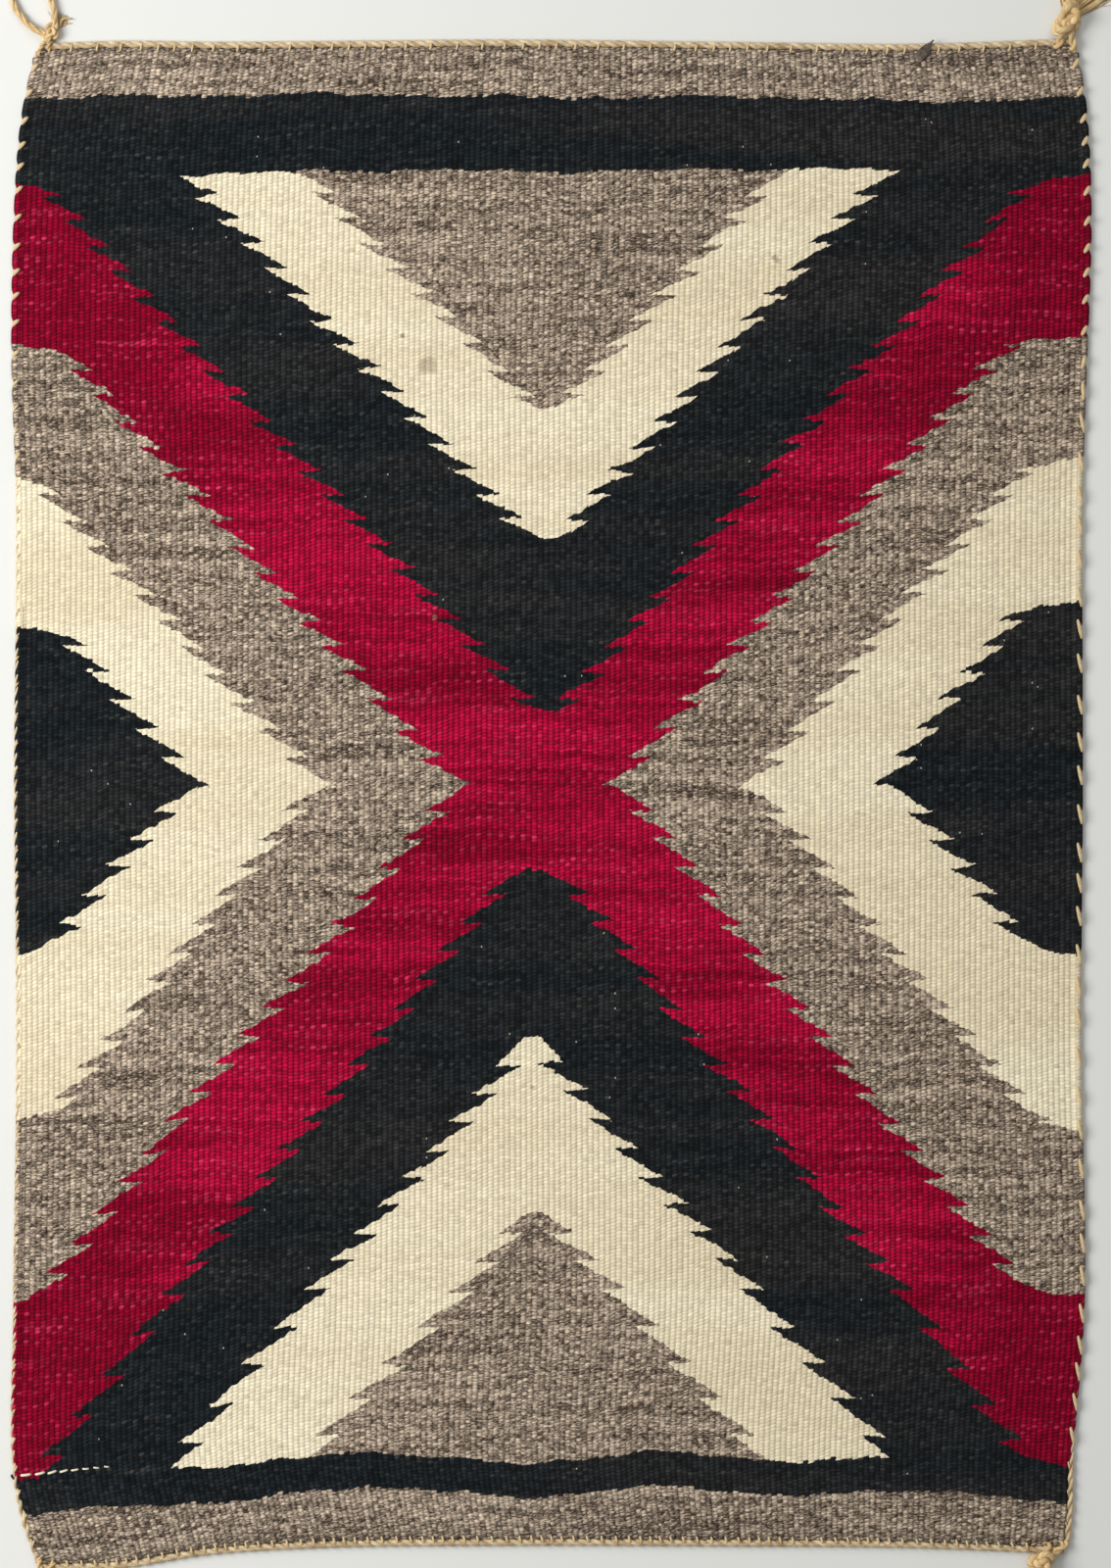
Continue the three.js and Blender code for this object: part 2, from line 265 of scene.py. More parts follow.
class Shader:
    """One material's nodes. Each method adds a node and returns its output."""

    def __init__(self, name):
        self.material = bpy.data.materials.new(name)
        self.material.use_nodes = True
        self.nodes = self.material.node_tree.nodes
        self.links = self.material.node_tree.links
        self.principled = self.nodes["Principled BSDF"]

    def feed(self, socket, value):
        """Links a node's output to a socket, or sets the socket to a plain value."""
        if isinstance(value, bpy.types.NodeSocket):
            self.links.new(value, socket)
        else:
            socket.default_value = value

    def math(self, operation, *values):
        node = self.nodes.new("ShaderNodeMath")
        node.operation = operation
        for socket, value in zip(node.inputs, values):
            self.feed(socket, value)
        return node.outputs[0]

    def add(self, a, b):
        return self.math("ADD", a, b)

    def minus(self, a, b):
        return self.math("SUBTRACT", a, b)

    def times(self, a, b):
        return self.math("MULTIPLY", a, b)

    def line(self, slope, at, start):
        """slope times at, plus start."""
        return self.math("MULTIPLY_ADD", slope, at, start)

    def above(self, a, b):
        return self.math("GREATER_THAN", a, b)

    def below(self, a, b):
        return self.math("LESS_THAN", a, b)

    def fade(self, value, low, high, to_low=0.0, to_high=1.0):
        """A smooth step of value, from to_low at low to to_high at high."""
        node = self.nodes.new("ShaderNodeMapRange")
        node.interpolation_type = "SMOOTHSTEP"
        for socket, number in zip(node.inputs, (value, low, high, to_low, to_high)):
            self.feed(socket, number)
        return node.outputs[0]

    def pair(self, x, y):
        node = self.nodes.new("ShaderNodeCombineXYZ")
        self.feed(node.inputs[0], x)
        self.feed(node.inputs[1], y)
        return node.outputs[0]

    def noise(self, x, y, detail):
        """Smooth noise, 0 to 1, with features about one unit apart."""
        node = self.nodes.new("ShaderNodeTexNoise")
        node.noise_dimensions = "2D"
        self.feed(node.inputs["Vector"], self.pair(x, y))
        node.inputs["Scale"].default_value = 1.0
        node.inputs["Detail"].default_value = detail
        return node.outputs[0]

    def chance(self, x, y):
        """A random number from 0 to 1 for each pair of whole numbers."""
        node = self.nodes.new("ShaderNodeTexWhiteNoise")
        node.noise_dimensions = "2D"
        self.feed(node.inputs["Vector"], self.pair(x, y))
        return node.outputs["Value"]

    def blend(self, share, a, b):
        """The number a where share is 0 and b where it is 1."""
        return self.line(share, self.minus(b, a), a)

    def mix(self, share, a, b):
        """The colour a where share is 0 and b where it is 1."""
        node = self.nodes.new("ShaderNodeMix")
        node.data_type = "RGBA"
        self.feed(node.inputs["Factor"], share)
        self.feed(node.inputs[6], a)
        self.feed(node.inputs[7], b)
        return node.outputs[2]

    def shade(self, colour, factor):
        """colour times a plain number."""
        node = self.nodes.new("ShaderNodeVectorMath")
        node.operation = "SCALE"
        self.feed(node.inputs[0], colour)
        self.feed(node.inputs["Scale"], factor)
        return node.outputs[0]

    def distance(self, a, b):
        """How far the point a is from the point b."""
        node = self.nodes.new("ShaderNodeVectorMath")
        node.operation = "DISTANCE"
        self.feed(node.inputs[0], a)
        self.feed(node.inputs[1], b)
        return node.outputs["Value"]

    def weave(self):
        """The two numbers of the piece's weave attribute."""
        node = self.nodes.new("ShaderNodeAttribute")
        node.attribute_name = "weave"
        split = self.nodes.new("ShaderNodeSeparateXYZ")
        self.links.new(node.outputs["Vector"], split.inputs[0])
        return split.outputs[0], split.outputs[1]

    def bump(self, height, distance):
        """Relief of the surface, distance metres from height 0 to height 1."""
        node = self.nodes.new("ShaderNodeBump")
        node.inputs["Distance"].default_value = distance
        self.feed(node.inputs["Height"], height)
        self.feed(self.principled.inputs["Normal"], node.outputs[0])


# %% [markdown]
# ## The threads
# Each weft pick passes over one warp and under the next, so it shows as a row of beads on every
# second warp, and the next pick fills the warps between. A bead is one warp wide and two picks
# tall, and beads on neighbouring warps are half a bead out of step. Its ends are pointed and tuck
# in between the beads beside it, so it reaches a little past its own warp: of the two beads that
# could cover a point, the higher one does. The design decides a point's colour partly by the middle
# of its bead, which gives the woven edges their small steps, and partly by the point's own place,
# because a weft bends as it passes from one colour's edge to the next. The wefts were packed by
# hand, so on every warp the rows drift a little up and down, which keeps the beads from being as
# even as a honeycomb.

# %% Beads of weft
BEAD_HALF_WIDTH = 0.58  # warps from the bead's middle to its points
BEAD_RISE = 0.22  # rows that a bead climbs in a warp, by the twist of its yarn
BEAD_WAIST = 0.60  # how far a bead falls towards the next one on its warp
ROW_DRIFT, DRIFT_ROWS = 1.1, 9.0  # rows that a warp's rows drift, and the rows it takes
OWN_ACROSS, OWN_ALONG = 0.7, 0.6  # how much a point's own place in its bead counts for the design

rug = Shader("woven_wool")
warp_at, row_at = rug.weave()
warp_place = rug.add(warp_at, -0.5)
drift_place = rug.times(row_at, 1 / DRIFT_ROWS)


def bead(odd):
    """The nearest bead on the even or the odd warps. Returns its warp, its row and the place in it
    across and along from its middle, then its height there: 1 minus the squares of both places, of
    which the place along counts less."""
    pair_number = rug.math("FLOOR", rug.line(warp_at, 0.5, 0.25 - 0.5 * odd))
    warp = rug.line(pair_number, 2.0, odd)
    across = rug.minus(warp_place, warp)
    drift = rug.noise(rug.times(warp, 1.7), drift_place, 0.0)
    drifted = rug.line(drift, ROW_DRIFT, rug.add(row_at, 0.5 * odd - 0.5 * ROW_DRIFT))
    row_place = rug.line(across, -BEAD_RISE, drifted)
    row = rug.math("FLOOR", row_place)
    along = rug.add(rug.math("FRACT", row_place), -0.5)
    height = rug.line(rug.times(across, across), -1 / BEAD_HALF_WIDTH**2, 1.0)
    height = rug.line(rug.times(along, along), -4 * BEAD_WAIST, height)
    return (warp, row, across, along), height


(even_place, even_height), (odd_place, odd_height) = bead(0.0), bead(1.0)
odd_on_top = rug.above(odd_height, even_height)
warp_number, row_number, bead_x, bead_y = (
    rug.blend(odd_on_top, even, odd) for even, odd in zip(even_place, odd_place)
)
thread_x = rug.add(warp_number, 0.5 - WARPS / 2)
thread_y = rug.line(odd_on_top, -0.5, rug.add(row_number, 0.5))
design_x = rug.line(bead_x, OWN_ACROSS, thread_x)
design_y = rug.line(bead_y, OWN_ALONG, thread_y)
# the bead's form drives the bump, and in the yarns also the painted shade and highlight
bead_form = rug.fade(rug.math("MAXIMUM", even_height, odd_height), -0.25, 1.0)
print("beads on", WARPS, "warps, in", BEAD_ROWS, "rows")

# %% [markdown]
# ## The serrated stripes
# The design is two mirrored halves, above and below a middle line. In each half, six edges lean
# away from the middle line on each side. They part the stripes from the sides inwards: black,
# cream, grey, red, black, cream and grey. Each edge is a straight line with a saw's teeth added:
# it runs out a little faster than its line, then jumps back at the end of every tooth. All the
# edges of a half jump on the same row of weft, because the weaver counted the rows. An edge that
# gets to the side of the cloth runs out faster there, almost level.

# %% Sizes of the stripes
MIDDLE_ROW = 214.4
# The teeth of the upper and of the lower half, in rows from the middle line: the height of a tooth
# near the line, the row from which its height changes, its height from there on, and how many rows
# short the first tooth is
TOOTH_ROWS = {"upper": (8.1, 34.0, 7.13, 0.0), "lower": (8.0, 142.5, 10.4, 0.7)}
TOOTH_DEPTH = 4.6  # warps
LEVEL_ROWS = 5.0  # rows in which an edge turns out to the side of the cloth
POINT_HALF_WIDTH = 1.2  # warps, where a stripe ends in a blunt point
FIELD_SIDE = WARPS / 2

# Where each edge starts on the middle line, in warps right of the centre, and its lean in warps
# for each row: upper left, upper right, lower left, lower right
STRIPE_EDGES = {
    "side black": [(-62.9, 0.562), (60.3, 0.491), (-64.6, 0.546), (63.2, 0.485)],
    "side cream": [(-40.4, 0.603), (36.0, 0.549), (-41.8, 0.518), (37.0, 0.535)],
    "side grey": [(-16.4, 0.569), (11.9, 0.559), (-16.1, 0.533), (13.2, 0.503)],
    "end black": [(9.7, 0.589), (-10.0, 0.556), (6.1, 0.511), (-10.7, 0.515)],
    "end cream": [(38.0, 0.593), (-36.4, 0.548), (34.9, 0.532), (-44.2, 0.560)],
    "end grey": [(66.0, 0.637), (-58.2, 0.563), (64.0, 0.556), (-72.5, 0.586)],
}

# The rows from the middle line on which an edge meets the side, in the same order
SIDE_ROWS = {
    "side black": [45.0, 52.4, 47.1, 48.1],
    "side cream": [87.0, 93.2, 93.0, 97.7],
    "side grey": [125.5, 128.1, 143.7, 144.5],
    "end black": [171.5, 173.7, 195.8, 192.1],
}
# The points of the stripes at the ends: rows from the middle line and warps right of the centre,
# upper and lower
STRIPE_POINTS = {
    "end black": [(20.7, 0.1), (24.0, -2.3)],
    "end cream": [(69.9, 0.3), (71.3, -3.1)],
    "end grey": [(107.6, -0.3), (121.5, -2.6)],
}

# %% Teeth
from_middle = rug.minus(design_y, MIDDLE_ROW)
rows_away = rug.math("ABSOLUTE", from_middle)
upper = rug.above(from_middle, 0.0)


def by_half(upper_value, lower_value):
    """One number in the upper half and another in the lower half."""
    return rug.line(upper, upper_value - lower_value, lower_value)


def tooth_count():
    """How many teeth there are between the middle line and this row: the rows over a near tooth's
    height, with the rows past the change counted by a far tooth's height instead."""
    halves = [(1 / near, change, 1 / far - 1 / near, short / near)
              for near, change, far, short in (TOOTH_ROWS["upper"], TOOTH_ROWS["lower"])]
    near_rate, change, far_rate, first = (by_half(*pair) for pair in zip(*halves))
    past = rug.math("MAXIMUM", rug.minus(rows_away, change), 0.0)
    return rug.line(past, far_rate, rug.line(rows_away, near_rate, first))


def tooth_end(half, row):
    """The row on which a tooth ends, the first that is at least a third of a tooth past a row."""
    near, change, far, short = TOOTH_ROWS[half]
    count = np.ceil((row + short) / near + max(row - change, 0) * (1 / far - 1 / near) + 1 / 3)
    at_change = (change + short) / near
    return count * near - short if count < at_change else change + (count - at_change) * far


saw = rug.times(rug.add(rug.math("FRACT", tooth_count()), -0.5), TOOTH_DEPTH)
mirrored_x = rug.times(design_x, -1.0)


# %% Stripe edges
def edge_line(edge, side):
    """How far out an edge's straight line is on this row, in warps outwards from the centre, and
    the share of the saw that it keeps: start plus lean times the rows away. In the last rows
    before it meets the side it goes out faster, by the cube of the rows, so that it gets there,
    and loses its teeth."""
    column, outward = (0, -1.0) if side == "left" else (1, 1.0)
    (up_start, up_lean), (low_start, low_lean) = STRIPE_EDGES[edge][column::2]
    start = by_half(up_start * outward, low_start * outward)
    line = rug.line(by_half(up_lean, low_lean), rows_away, start)
    if edge not in SIDE_ROWS:
        return line, 1.0
    up_row, low_row = SIDE_ROWS[edge][column::2]
    up_short = FIELD_SIDE - up_start * outward - up_lean * up_row
    low_short = FIELD_SIDE - low_start * outward - low_lean * low_row
    over = rug.minus(rows_away, by_half(up_row - LEVEL_ROWS, low_row - LEVEL_ROWS))
    over = rug.math("MAXIMUM", over, 0.0)
    faster = by_half(up_short / LEVEL_ROWS**3, low_short / LEVEL_ROWS**3)
    run_out = rug.line(rug.math("POWER", over, 3.0), faster, line)
    return run_out, rug.fade(over, 0.4 * LEVEL_ROWS, 0.8 * LEVEL_ROWS, 1.0, 0.0)


def outside(edge):
    """1 on the sides' part of an edge pair, left or right."""
    masks = []
    for side, outward_x in (("left", mirrored_x), ("right", design_x)):
        line, toothed = edge_line(edge, side)
        masks.append(rug.above(outward_x, rug.line(saw, toothed, line)))
    return rug.math("MAXIMUM", *masks)


# %% Points of the stripes
def point_lines(edge, half):
    """A stripe's point: the row it starts on, the row where it joins the toothed edges, then half its
    width and its middle as straight lines between those rows, each a slope and a start."""
    first = 0 if half == "upper" else 2
    (left_start, left_lean), (right_start, right_lean) = STRIPE_EDGES[edge][first : first + 2]
    tip, tip_x = STRIPE_POINTS[edge][first // 2]
    join = tooth_end(half, tip)
    left = left_start - left_lean * join
    right = right_start + right_lean * join
    wide = (right - left + TOOTH_DEPTH) / 2
    widening = (wide - POINT_HALF_WIDTH) / (join - tip)
    drift = ((right + left) / 2 - tip_x) / (join - tip)
    return tip, join, widening, POINT_HALF_WIDTH - widening * tip, drift, tip_x - drift * tip


def inside(edge):
    """1 between an edge pair: nearer to the pair's middle than half its width, plus the saw. The
    stripe's point has straight sides."""
    left, left_toothed = edge_line(edge, "left")
    right, right_toothed = edge_line(edge, "right")
    half = rug.times(rug.add(left, right), 0.5)
    half = rug.line(saw, rug.times(left_toothed, right_toothed), half)
    middle = rug.times(rug.minus(right, left), 0.5)
    lines = zip(point_lines(edge, "upper"), point_lines(edge, "lower"))
    tip, join, widening, point_half, drift, point_middle = (by_half(*pair) for pair in lines)
    in_point = rug.below(rows_away, join)
    half = rug.blend(in_point, half, rug.line(widening, rows_away, point_half))
    middle = rug.blend(in_point, middle, rug.line(drift, rows_away, point_middle))
    away = rug.math("ABSOLUTE", rug.minus(design_x, middle))
    return rug.times(rug.below(away, half), rug.above(rows_away, tip))


print(len(STRIPE_EDGES), "pairs of edges in each half, with teeth", TOOTH_DEPTH, "warps deep")

# %% [markdown]
# ## Dyed and undyed wool
# Red is dyed, and its shade shifts from one batch of yarn to the next, darker towards the sides,
# with pale streaks along a pick. Black and cream vary gently, and a few specks of pale warp show
# between the black beads. Grey is carded from dark and pale fleece together, so it is mottled from
# bead to bead. Each yarn takes its two or three tones by noise that is stretched along the wefts
# and fresh on every row. Shade is painted into a bead where it dives between its neighbours, and a
# highlight is painted on its crown. That painted light is strongest in the red and the black, and
# weakest in the cream, which is full of light itself.

# %% Yarn colours
# How much a yarn's brightness changes by painted shade in a bead's gaps and painted highlight on
# its crown, from bead to bead and from fibre to fibre
YARN_CONTRAST = {
    "red": (1.1, 0.55, 1.0),
    "black": (0.95, 0.9, 1.2),
    "cream": (0.26, 0.18, 0.5),
    "grey": (0.7, 0.35, 0.85),
}


def wool_noise(per_warp, along, per_step, detail):
    """Noise that changes per_warp times in a warp and per_step times in a step of along."""
    return rug.noise(rug.times(thread_x, per_warp), rug.times(along, per_step), detail)


bead_chance = rug.chance(warp_number, row_number)
pick_number = rug.minus(rug.times(row_number, 2.0), odd_on_top)
streak = wool_noise(0.06, pick_number, 0.83, 2.0)  # long flecks along single picks
mottle = wool_noise(0.75, row_number, 0.77, 1.0)  # from bead to bead
pick_tone = wool_noise(0.02, row_number, 0.47, 1.0)  # from row to row
batch = wool_noise(-0.006, thread_y, 0.055, 3.0)  # from one spinning of yarn to the next
fibre = rug.noise(rug.times(warp_at, 1.1), rug.line(bead_y, 2.4, rug.times(row_number, 3.7)), 2.0)


def bead_toned_with_painted_shade(colour, yarn):
    """A colour with shade painted where the bead dives between its neighbours and a highlight painted
    on its crown: 0.9 plus the yarn's depth of painted shade times the bead's form less its mean,
    0.65, all times a random brightness for each bead and for each fine fibre of the yarn."""
    painted_shade_depth, by_bead, by_fibre = YARN_CONTRAST[yarn]
    # painted shade in the gaps between beads and painted highlight on their crowns
    tone = rug.line(bead_form, painted_shade_depth, 0.9 - 0.65 * painted_shade_depth)
    bead_tone = rug.line(bead_chance, by_bead, 1 - 0.5 * by_bead)
    fibre_tone = rug.line(fibre, by_fibre, 1 - 0.5 * by_fibre)
    return rug.shade(colour, rug.times(tone, rug.times(bead_tone, fibre_tone)))


pick_shade = rug.line(rug.add(pick_tone, -0.5), 0.6, batch)
to_the_sides = rug.fade(rug.math("ABSOLUTE", thread_x), 0.55 * FIELD_SIDE, FIELD_SIDE, 0.0, -0.4)
red_share = rug.fade(rug.add(pick_shade, to_the_sides), 0.3, 0.7)
red_tone = rug.mix(red_share, rgb(124, 0, 33), rgb(167, 7, 52))
red_yarn = bead_toned_with_painted_shade(rug.mix(rug.fade(streak, 0.53, 0.95), red_tone, rgb(190, 48, 84)), "red")
black_tone = rug.mix(rug.fade(batch, 0.35, 0.75), rgb(23, 28, 31), rgb(39, 38, 38))
black_yarn = rug.mix(rug.fade(streak, 0.50, 0.95), black_tone, rgb(55, 54, 51))
speck_dot = rug.times(rug.above(bead_x, 0.34), rug.below(rug.math("ABSOLUTE", bead_y), 0.25))
speck = rug.times(rug.above(bead_chance, 0.9975), speck_dot)
black_yarn = rug.mix(speck, bead_toned_with_painted_shade(black_yarn, "black"), rgb(196, 186, 166))
cream_tone = rug.mix(rug.fade(batch, 0.3, 0.7), rgb(239, 227, 196), rgb(230, 215, 181))
cream_yarn = bead_toned_with_painted_shade(rug.mix(rug.fade(mottle, 0.48, 1.0), cream_tone, rgb(211, 196, 163)), "cream")
grey_share = rug.add(rug.times(fibre, 0.85), rug.times(bead_chance, 0.18))
grey_share = rug.add(grey_share, rug.times(rug.add(pick_tone, -0.5), 0.35))
grey_tone = rug.mix(rug.fade(grey_share, 0.26, 0.80), rgb(68, 55, 46), rgb(193, 174, 152))
grey_yarn = bead_toned_with_painted_shade(grey_tone, "grey")
print("yarns:", ", ".join(YARN_CONTRAST))

# %% [markdown]
# ## Stripes and end bands
# The stripes are laid over one another from the red cross outwards, as a painter would, each
# masked by its edges. A black and a grey band cross each end of the rug. At the head their lines
# tilt a little, and at the foot they rise and fall in a slow wave.

# %% Lay the design
HEAD_BLACK_ROW, HEAD_GREY_ROW = 389.2, 410.3
FOOT_BLACK_ROW, FOOT_GREY_ROW = 23.2, 13.4
# Rows that a band's line climbs for each warp to the right
HEAD_BLACK_TILT, HEAD_GREY_TILT = 1.2 / FIELD_SIDE, -0.6 / FIELD_SIDE
# The foot bands' wave: its height in rows, its length and a crest's place in warps
FOOT_WAVE, FOOT_WAVE_LENGTH, FOOT_WAVE_CREST = 1.3, 51.0, -5.4

design = red_yarn
for edge, mask, yarn in (
    ("end black", inside, black_yarn),
    ("end cream", inside, cream_yarn),
    ("end grey", inside, grey_yarn),
    ("side grey", outside, grey_yarn),
    ("side cream", outside, cream_yarn),
    ("side black", outside, black_yarn),
):
    design = rug.mix(mask(edge), design, yarn)

wave_turn = rug.times(rug.add(design_x, -FOOT_WAVE_CREST), 2 * np.pi / FOOT_WAVE_LENGTH)
foot_wave = rug.times(rug.math("COSINE", wave_turn), by_half(0.0, FOOT_WAVE))
band_row = rug.add(design_y, foot_wave)
for compare, row, tilt, yarn in (
    (rug.above, HEAD_BLACK_ROW, HEAD_BLACK_TILT, black_yarn),
    (rug.above, HEAD_GREY_ROW, HEAD_GREY_TILT, grey_yarn),
    (rug.below, FOOT_BLACK_ROW, 0.0, black_yarn),
    (rug.below, FOOT_GREY_ROW, 0.0, grey_yarn),
):
    design = rug.mix(compare(band_row, rug.line(design_x, tilt, row)), design, yarn)
print("design laid with", len(rug.nodes), "nodes")

# %% [markdown]
# ## Wear and the bead's own form
# A few small stains have come with use: one is round and grey, the others are pin-head spots.
# Last, the bump gives each bead its rounded form, slanted by the twist of the yarn.

# %% Stains and bead form
STAINS = [  # warp right of the centre, row, radius in warps, strength
    (-21.8, 333.2, 1.9, 0.42), (-26.2, 341.7, 0.55, 0.7), (39.9, 364.5, 0.8, 0.55),
    (-20.6, 262.0, 0.5, 0.5), (41.0, 226.0, 0.6, 0.35), (-3.0, 129.0, 0.5, 0.5),
    (-66.0, 236.0, 0.5, 0.35),
]
ROWS_TO_A_WARP = WARP_PITCH / ROW_PITCH
BEAD_RELIEF = 0.35 * MM

# the stain's colour also takes the painted shade and highlight of the beads
stain_colour = bead_toned_with_painted_shade(rgb(132, 106, 84)[:3], "cream")
stain_place = rug.pair(design_x, rug.times(design_y, 1 / ROWS_TO_A_WARP))
stained = 0.0
for stain_x, stain_row, radius, strength in STAINS:
    away = rug.distance(stain_place, (stain_x, stain_row / ROWS_TO_A_WARP, 0.0))
    spot = rug.fade(away, 0.55 * radius, 1.1 * radius, strength, 0.0)
    stained = rug.math("MAXIMUM", stained, spot)
design = rug.mix(stained, design, stain_colour)

rug.feed(rug.principled.inputs["Base Color"], design)
rug.principled.inputs["Roughness"].default_value = 0.95
rug.principled.inputs["Specular IOR Level"].default_value = 0.08
rug.principled.inputs["Sheen Weight"].default_value = 0.03
rug.bump(bead_form, BEAD_RELIEF)
cloth.data.materials.append(rug.material)
print(len(STAINS), "stains,", len(rug.nodes), "nodes in all")

# %% [markdown]
# ## Twisted cords
# A cord is two plies of tan yarn wound round each other. Each ply's middle is a helix about the
# cord's path, and its surface is a round profile carried along that helix. The function takes
# many paths at once, so a whole tuft of strands is one call.


# %% Paths
def unit(vectors):
    """Vectors of length 1 in the same directions."""
    return vectors / np.linalg.norm(vectors, axis=-1, keepdims=True)


def path_frame(paths):
    """Tangent, side and up of paths (k, n, 3): side is level, and up is square to both."""
    tangent = unit(np.gradient(paths, axis=1))
    side = unit(np.cross(np.array([0.0, 0.0, 1.0]), tangent))
    return tangent, side, np.cross(tangent, side)


def path_length(paths):
    """Length along each path up to each of its points, (k, n)."""
    steps = np.linalg.norm(np.diff(paths, axis=1), axis=-1)
    return np.concatenate([np.zeros((len(paths), 1)), np.cumsum(steps, axis=1)], axis=1)


def resampled(points, count):
    """A path of count points, evenly spaced along a smooth curve through a few points."""
    points = np.asarray(points, dtype=float)
    stations = path_length(points[None])[0]
    fine = np.linspace(0, stations[-1], 12 * len(points))
    curve = np.stack([smooth_curve(fine, stations, points[:, axis]) for axis in range(3)], axis=-1)
    run = path_length(curve[None])[0]
    even = np.linspace(0, run[-1], count)
    return np.stack([np.interp(even, run, curve[:, axis]) for axis in range(3)], axis=-1)


# %% Plies and tubes
def plies(paths, offset, turn, count=2):
    """The middles of count plies wound about each path at a radius of offset, once round in the
    length turn: path + offset * (cos(a) * side + sin(a) * up)."""
    _, side, up = path_frame(paths)
    angle = 2 * np.pi * path_length(paths) / turn
    wound = []
    for ply in range(count):
        a = (angle + 2 * np.pi * ply / count)[..., None]
        wound.append(paths + offset * (np.cos(a) * side + np.sin(a) * up))
    return np.concatenate(wound)


def tubes(paths, radius, sides):
    """Round tubes along paths (k, n, 3), with radius a number or (k, n). Returns points, quads,
    caps and the weave attribute: turn round the tube 0 to 1, then millimetres along it, then a
    number for each tube."""
    count, steps = paths.shape[:2]
    _, side, up = path_frame(paths)
    angle = np.linspace(0, 2 * np.pi, sides, endpoint=False)
    ring = np.cos(angle)[:, None] * side[:, :, None] + np.sin(angle)[:, None] * up[:, :, None]
    reach = np.broadcast_to(radius, (count, steps))[..., None, None]
    points = paths[:, :, None] + reach * ring
    starts = np.arange(count) * steps * sides
    quads = np.concatenate([grid_faces(steps, sides, start) for start in starts])
    caps = [cap for start in starts for cap in end_caps(steps, sides, start)]
    around = np.broadcast_to(angle / (2 * np.pi), points.shape[:-1])
    run = np.broadcast_to(path_length(paths)[..., None] / MM, points.shape[:-1])
    number = np.broadcast_to(np.arange(count)[:, None, None], points.shape[:-1])
    return points.reshape(-1, 3), quads, caps, np.stack([around, run, number], axis=-1).reshape(-1, 3)


def joined(*parts):
    """Several results of tubes as one."""
    points, quads, caps, weave, start = [], [], [], [], 0
    for part_points, part_quads, part_caps, part_weave in parts:
        points.append(part_points)
        quads.append(part_quads + start)
        caps.extend(cap + start for cap in part_caps)
        weave.append(part_weave)
        start += len(part_points)
    return np.concatenate(points), np.concatenate(quads), caps, np.concatenate(weave)


# %% [markdown]
# ## Tan wool
# The cords are spun from undyed tan wool. Fine fibres run aslant round each ply, so its colour and
# bump are noise in the tube's own coordinates, turned by the twist. The colour is lighter where the
# fibres' bump rises: that is a painted highlight, mixed with the wool's own tone.


# %% Tan wool material
def spun_wool(name, dark, light, fibre_slant, relief):
    """Wool yarn: streaks that climb round the tube, in tones from dark to light, with a painted
    highlight where the fibres' bump rises.
    """
    yarn = Shader(name)
    around, run = yarn.weave()
    climbing = yarn.add(around, yarn.times(run, fibre_slant))
    turns = yarn.times(climbing, 2 * np.pi)
    fibre_x = yarn.times(yarn.math("COSINE", turns), 2.2)
    fibre_y = yarn.line(yarn.math("SINE", turns), 2.2, yarn.times(run, 0.25))
    fibres = yarn.noise(fibre_x, fibre_y, 3.0)
    tone = yarn.noise(yarn.times(run, 0.12), around, 2.0)
    # painted highlight where the fibres' bump rises, mixed with the wool's own slow tone
    share = yarn.add(yarn.times(fibres, 0.6), yarn.times(tone, 0.5))
    colour = yarn.mix(yarn.fade(share, 0.30, 0.80), dark, light)
    yarn.feed(yarn.principled.inputs["Base Color"], colour)
    yarn.principled.inputs["Roughness"].default_value = 0.92
    yarn.principled.inputs["Specular IOR Level"].default_value = 0.15
    yarn.principled.inputs["Sheen Weight"].default_value = 0.06
    yarn.bump(fibres, relief)
    return yarn.material


tan_wool = spun_wool("cord_wool", rgb(164, 136, 96), rgb(234, 213, 174), 0.11, 0.25 * MM)
pale_wool = spun_wool("binding_wool", rgb(186, 156, 108), rgb(240, 220, 180), 0.11, 0.15 * MM)
print("yarns for the cords:", tan_wool.name, "and", pale_wool.name)

# %% [markdown]
# ## The end cords
# At the head and the foot a two-ply cord is twined through the ends of the warps. It lies just
# past the cloth's edge, where the frame has it. The loops that bind it to the cloth show as a row
# of short slanted stitches, close together at the foot and further apart at the head. Twining
# the cord round every warp would cost far more faces, and the stitches look the same from above.

# %% End cords
END_CORD_RADIUS = 2.2 * MM
END_PLY_OFFSET, END_PLY_RADIUS = 0.88 * MM, 1.34 * MM
END_CORD_TURN = 13.4 * MM
END_STEPS = 560
SEAT_GAP = 0.3 * MM


def finished(piece, material, slot, *nodes):
    """Gives a piece its material, and hides the frame's nodes that it stands for. The slot is not used.
    """
    piece.data.materials.append(material)
    if nodes:
        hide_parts(*nodes)
    return piece


def end_path(along, outward, margin):
    """The middle of an end cord, just past an end of the cloth, from margin to 1 - margin of its
    width."""
    shares = np.linspace(margin, 1 - margin, END_STEPS)
    path = cloth_point(shares, 0 * shares + along, END_CORD_RADIUS)
    path[:, 1] += outward * (END_CORD_RADIUS + SEAT_GAP)
    return path


def end_cord(node, along, outward):
    """Two plies wound about the end's path, as far as the frame's own cord goes."""
    low, high = (np.array(corner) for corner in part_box(node))
    path = end_path(along, outward, 0.0)
    path = path[(path[:, 0] > low[0]) & (path[:, 0] < high[0])][None]
    wound = plies(path, END_PLY_OFFSET, END_CORD_TURN)
    cord = add_piece(node + "_twisted", *tubes(wound, END_PLY_RADIUS, 8))
    return finished(cord, tan_wool, "cord_wool", node)


head_cord = end_cord("end_cord_head", 1, 1)
foot_cord = end_cord("end_cord_foot", 0, -1)

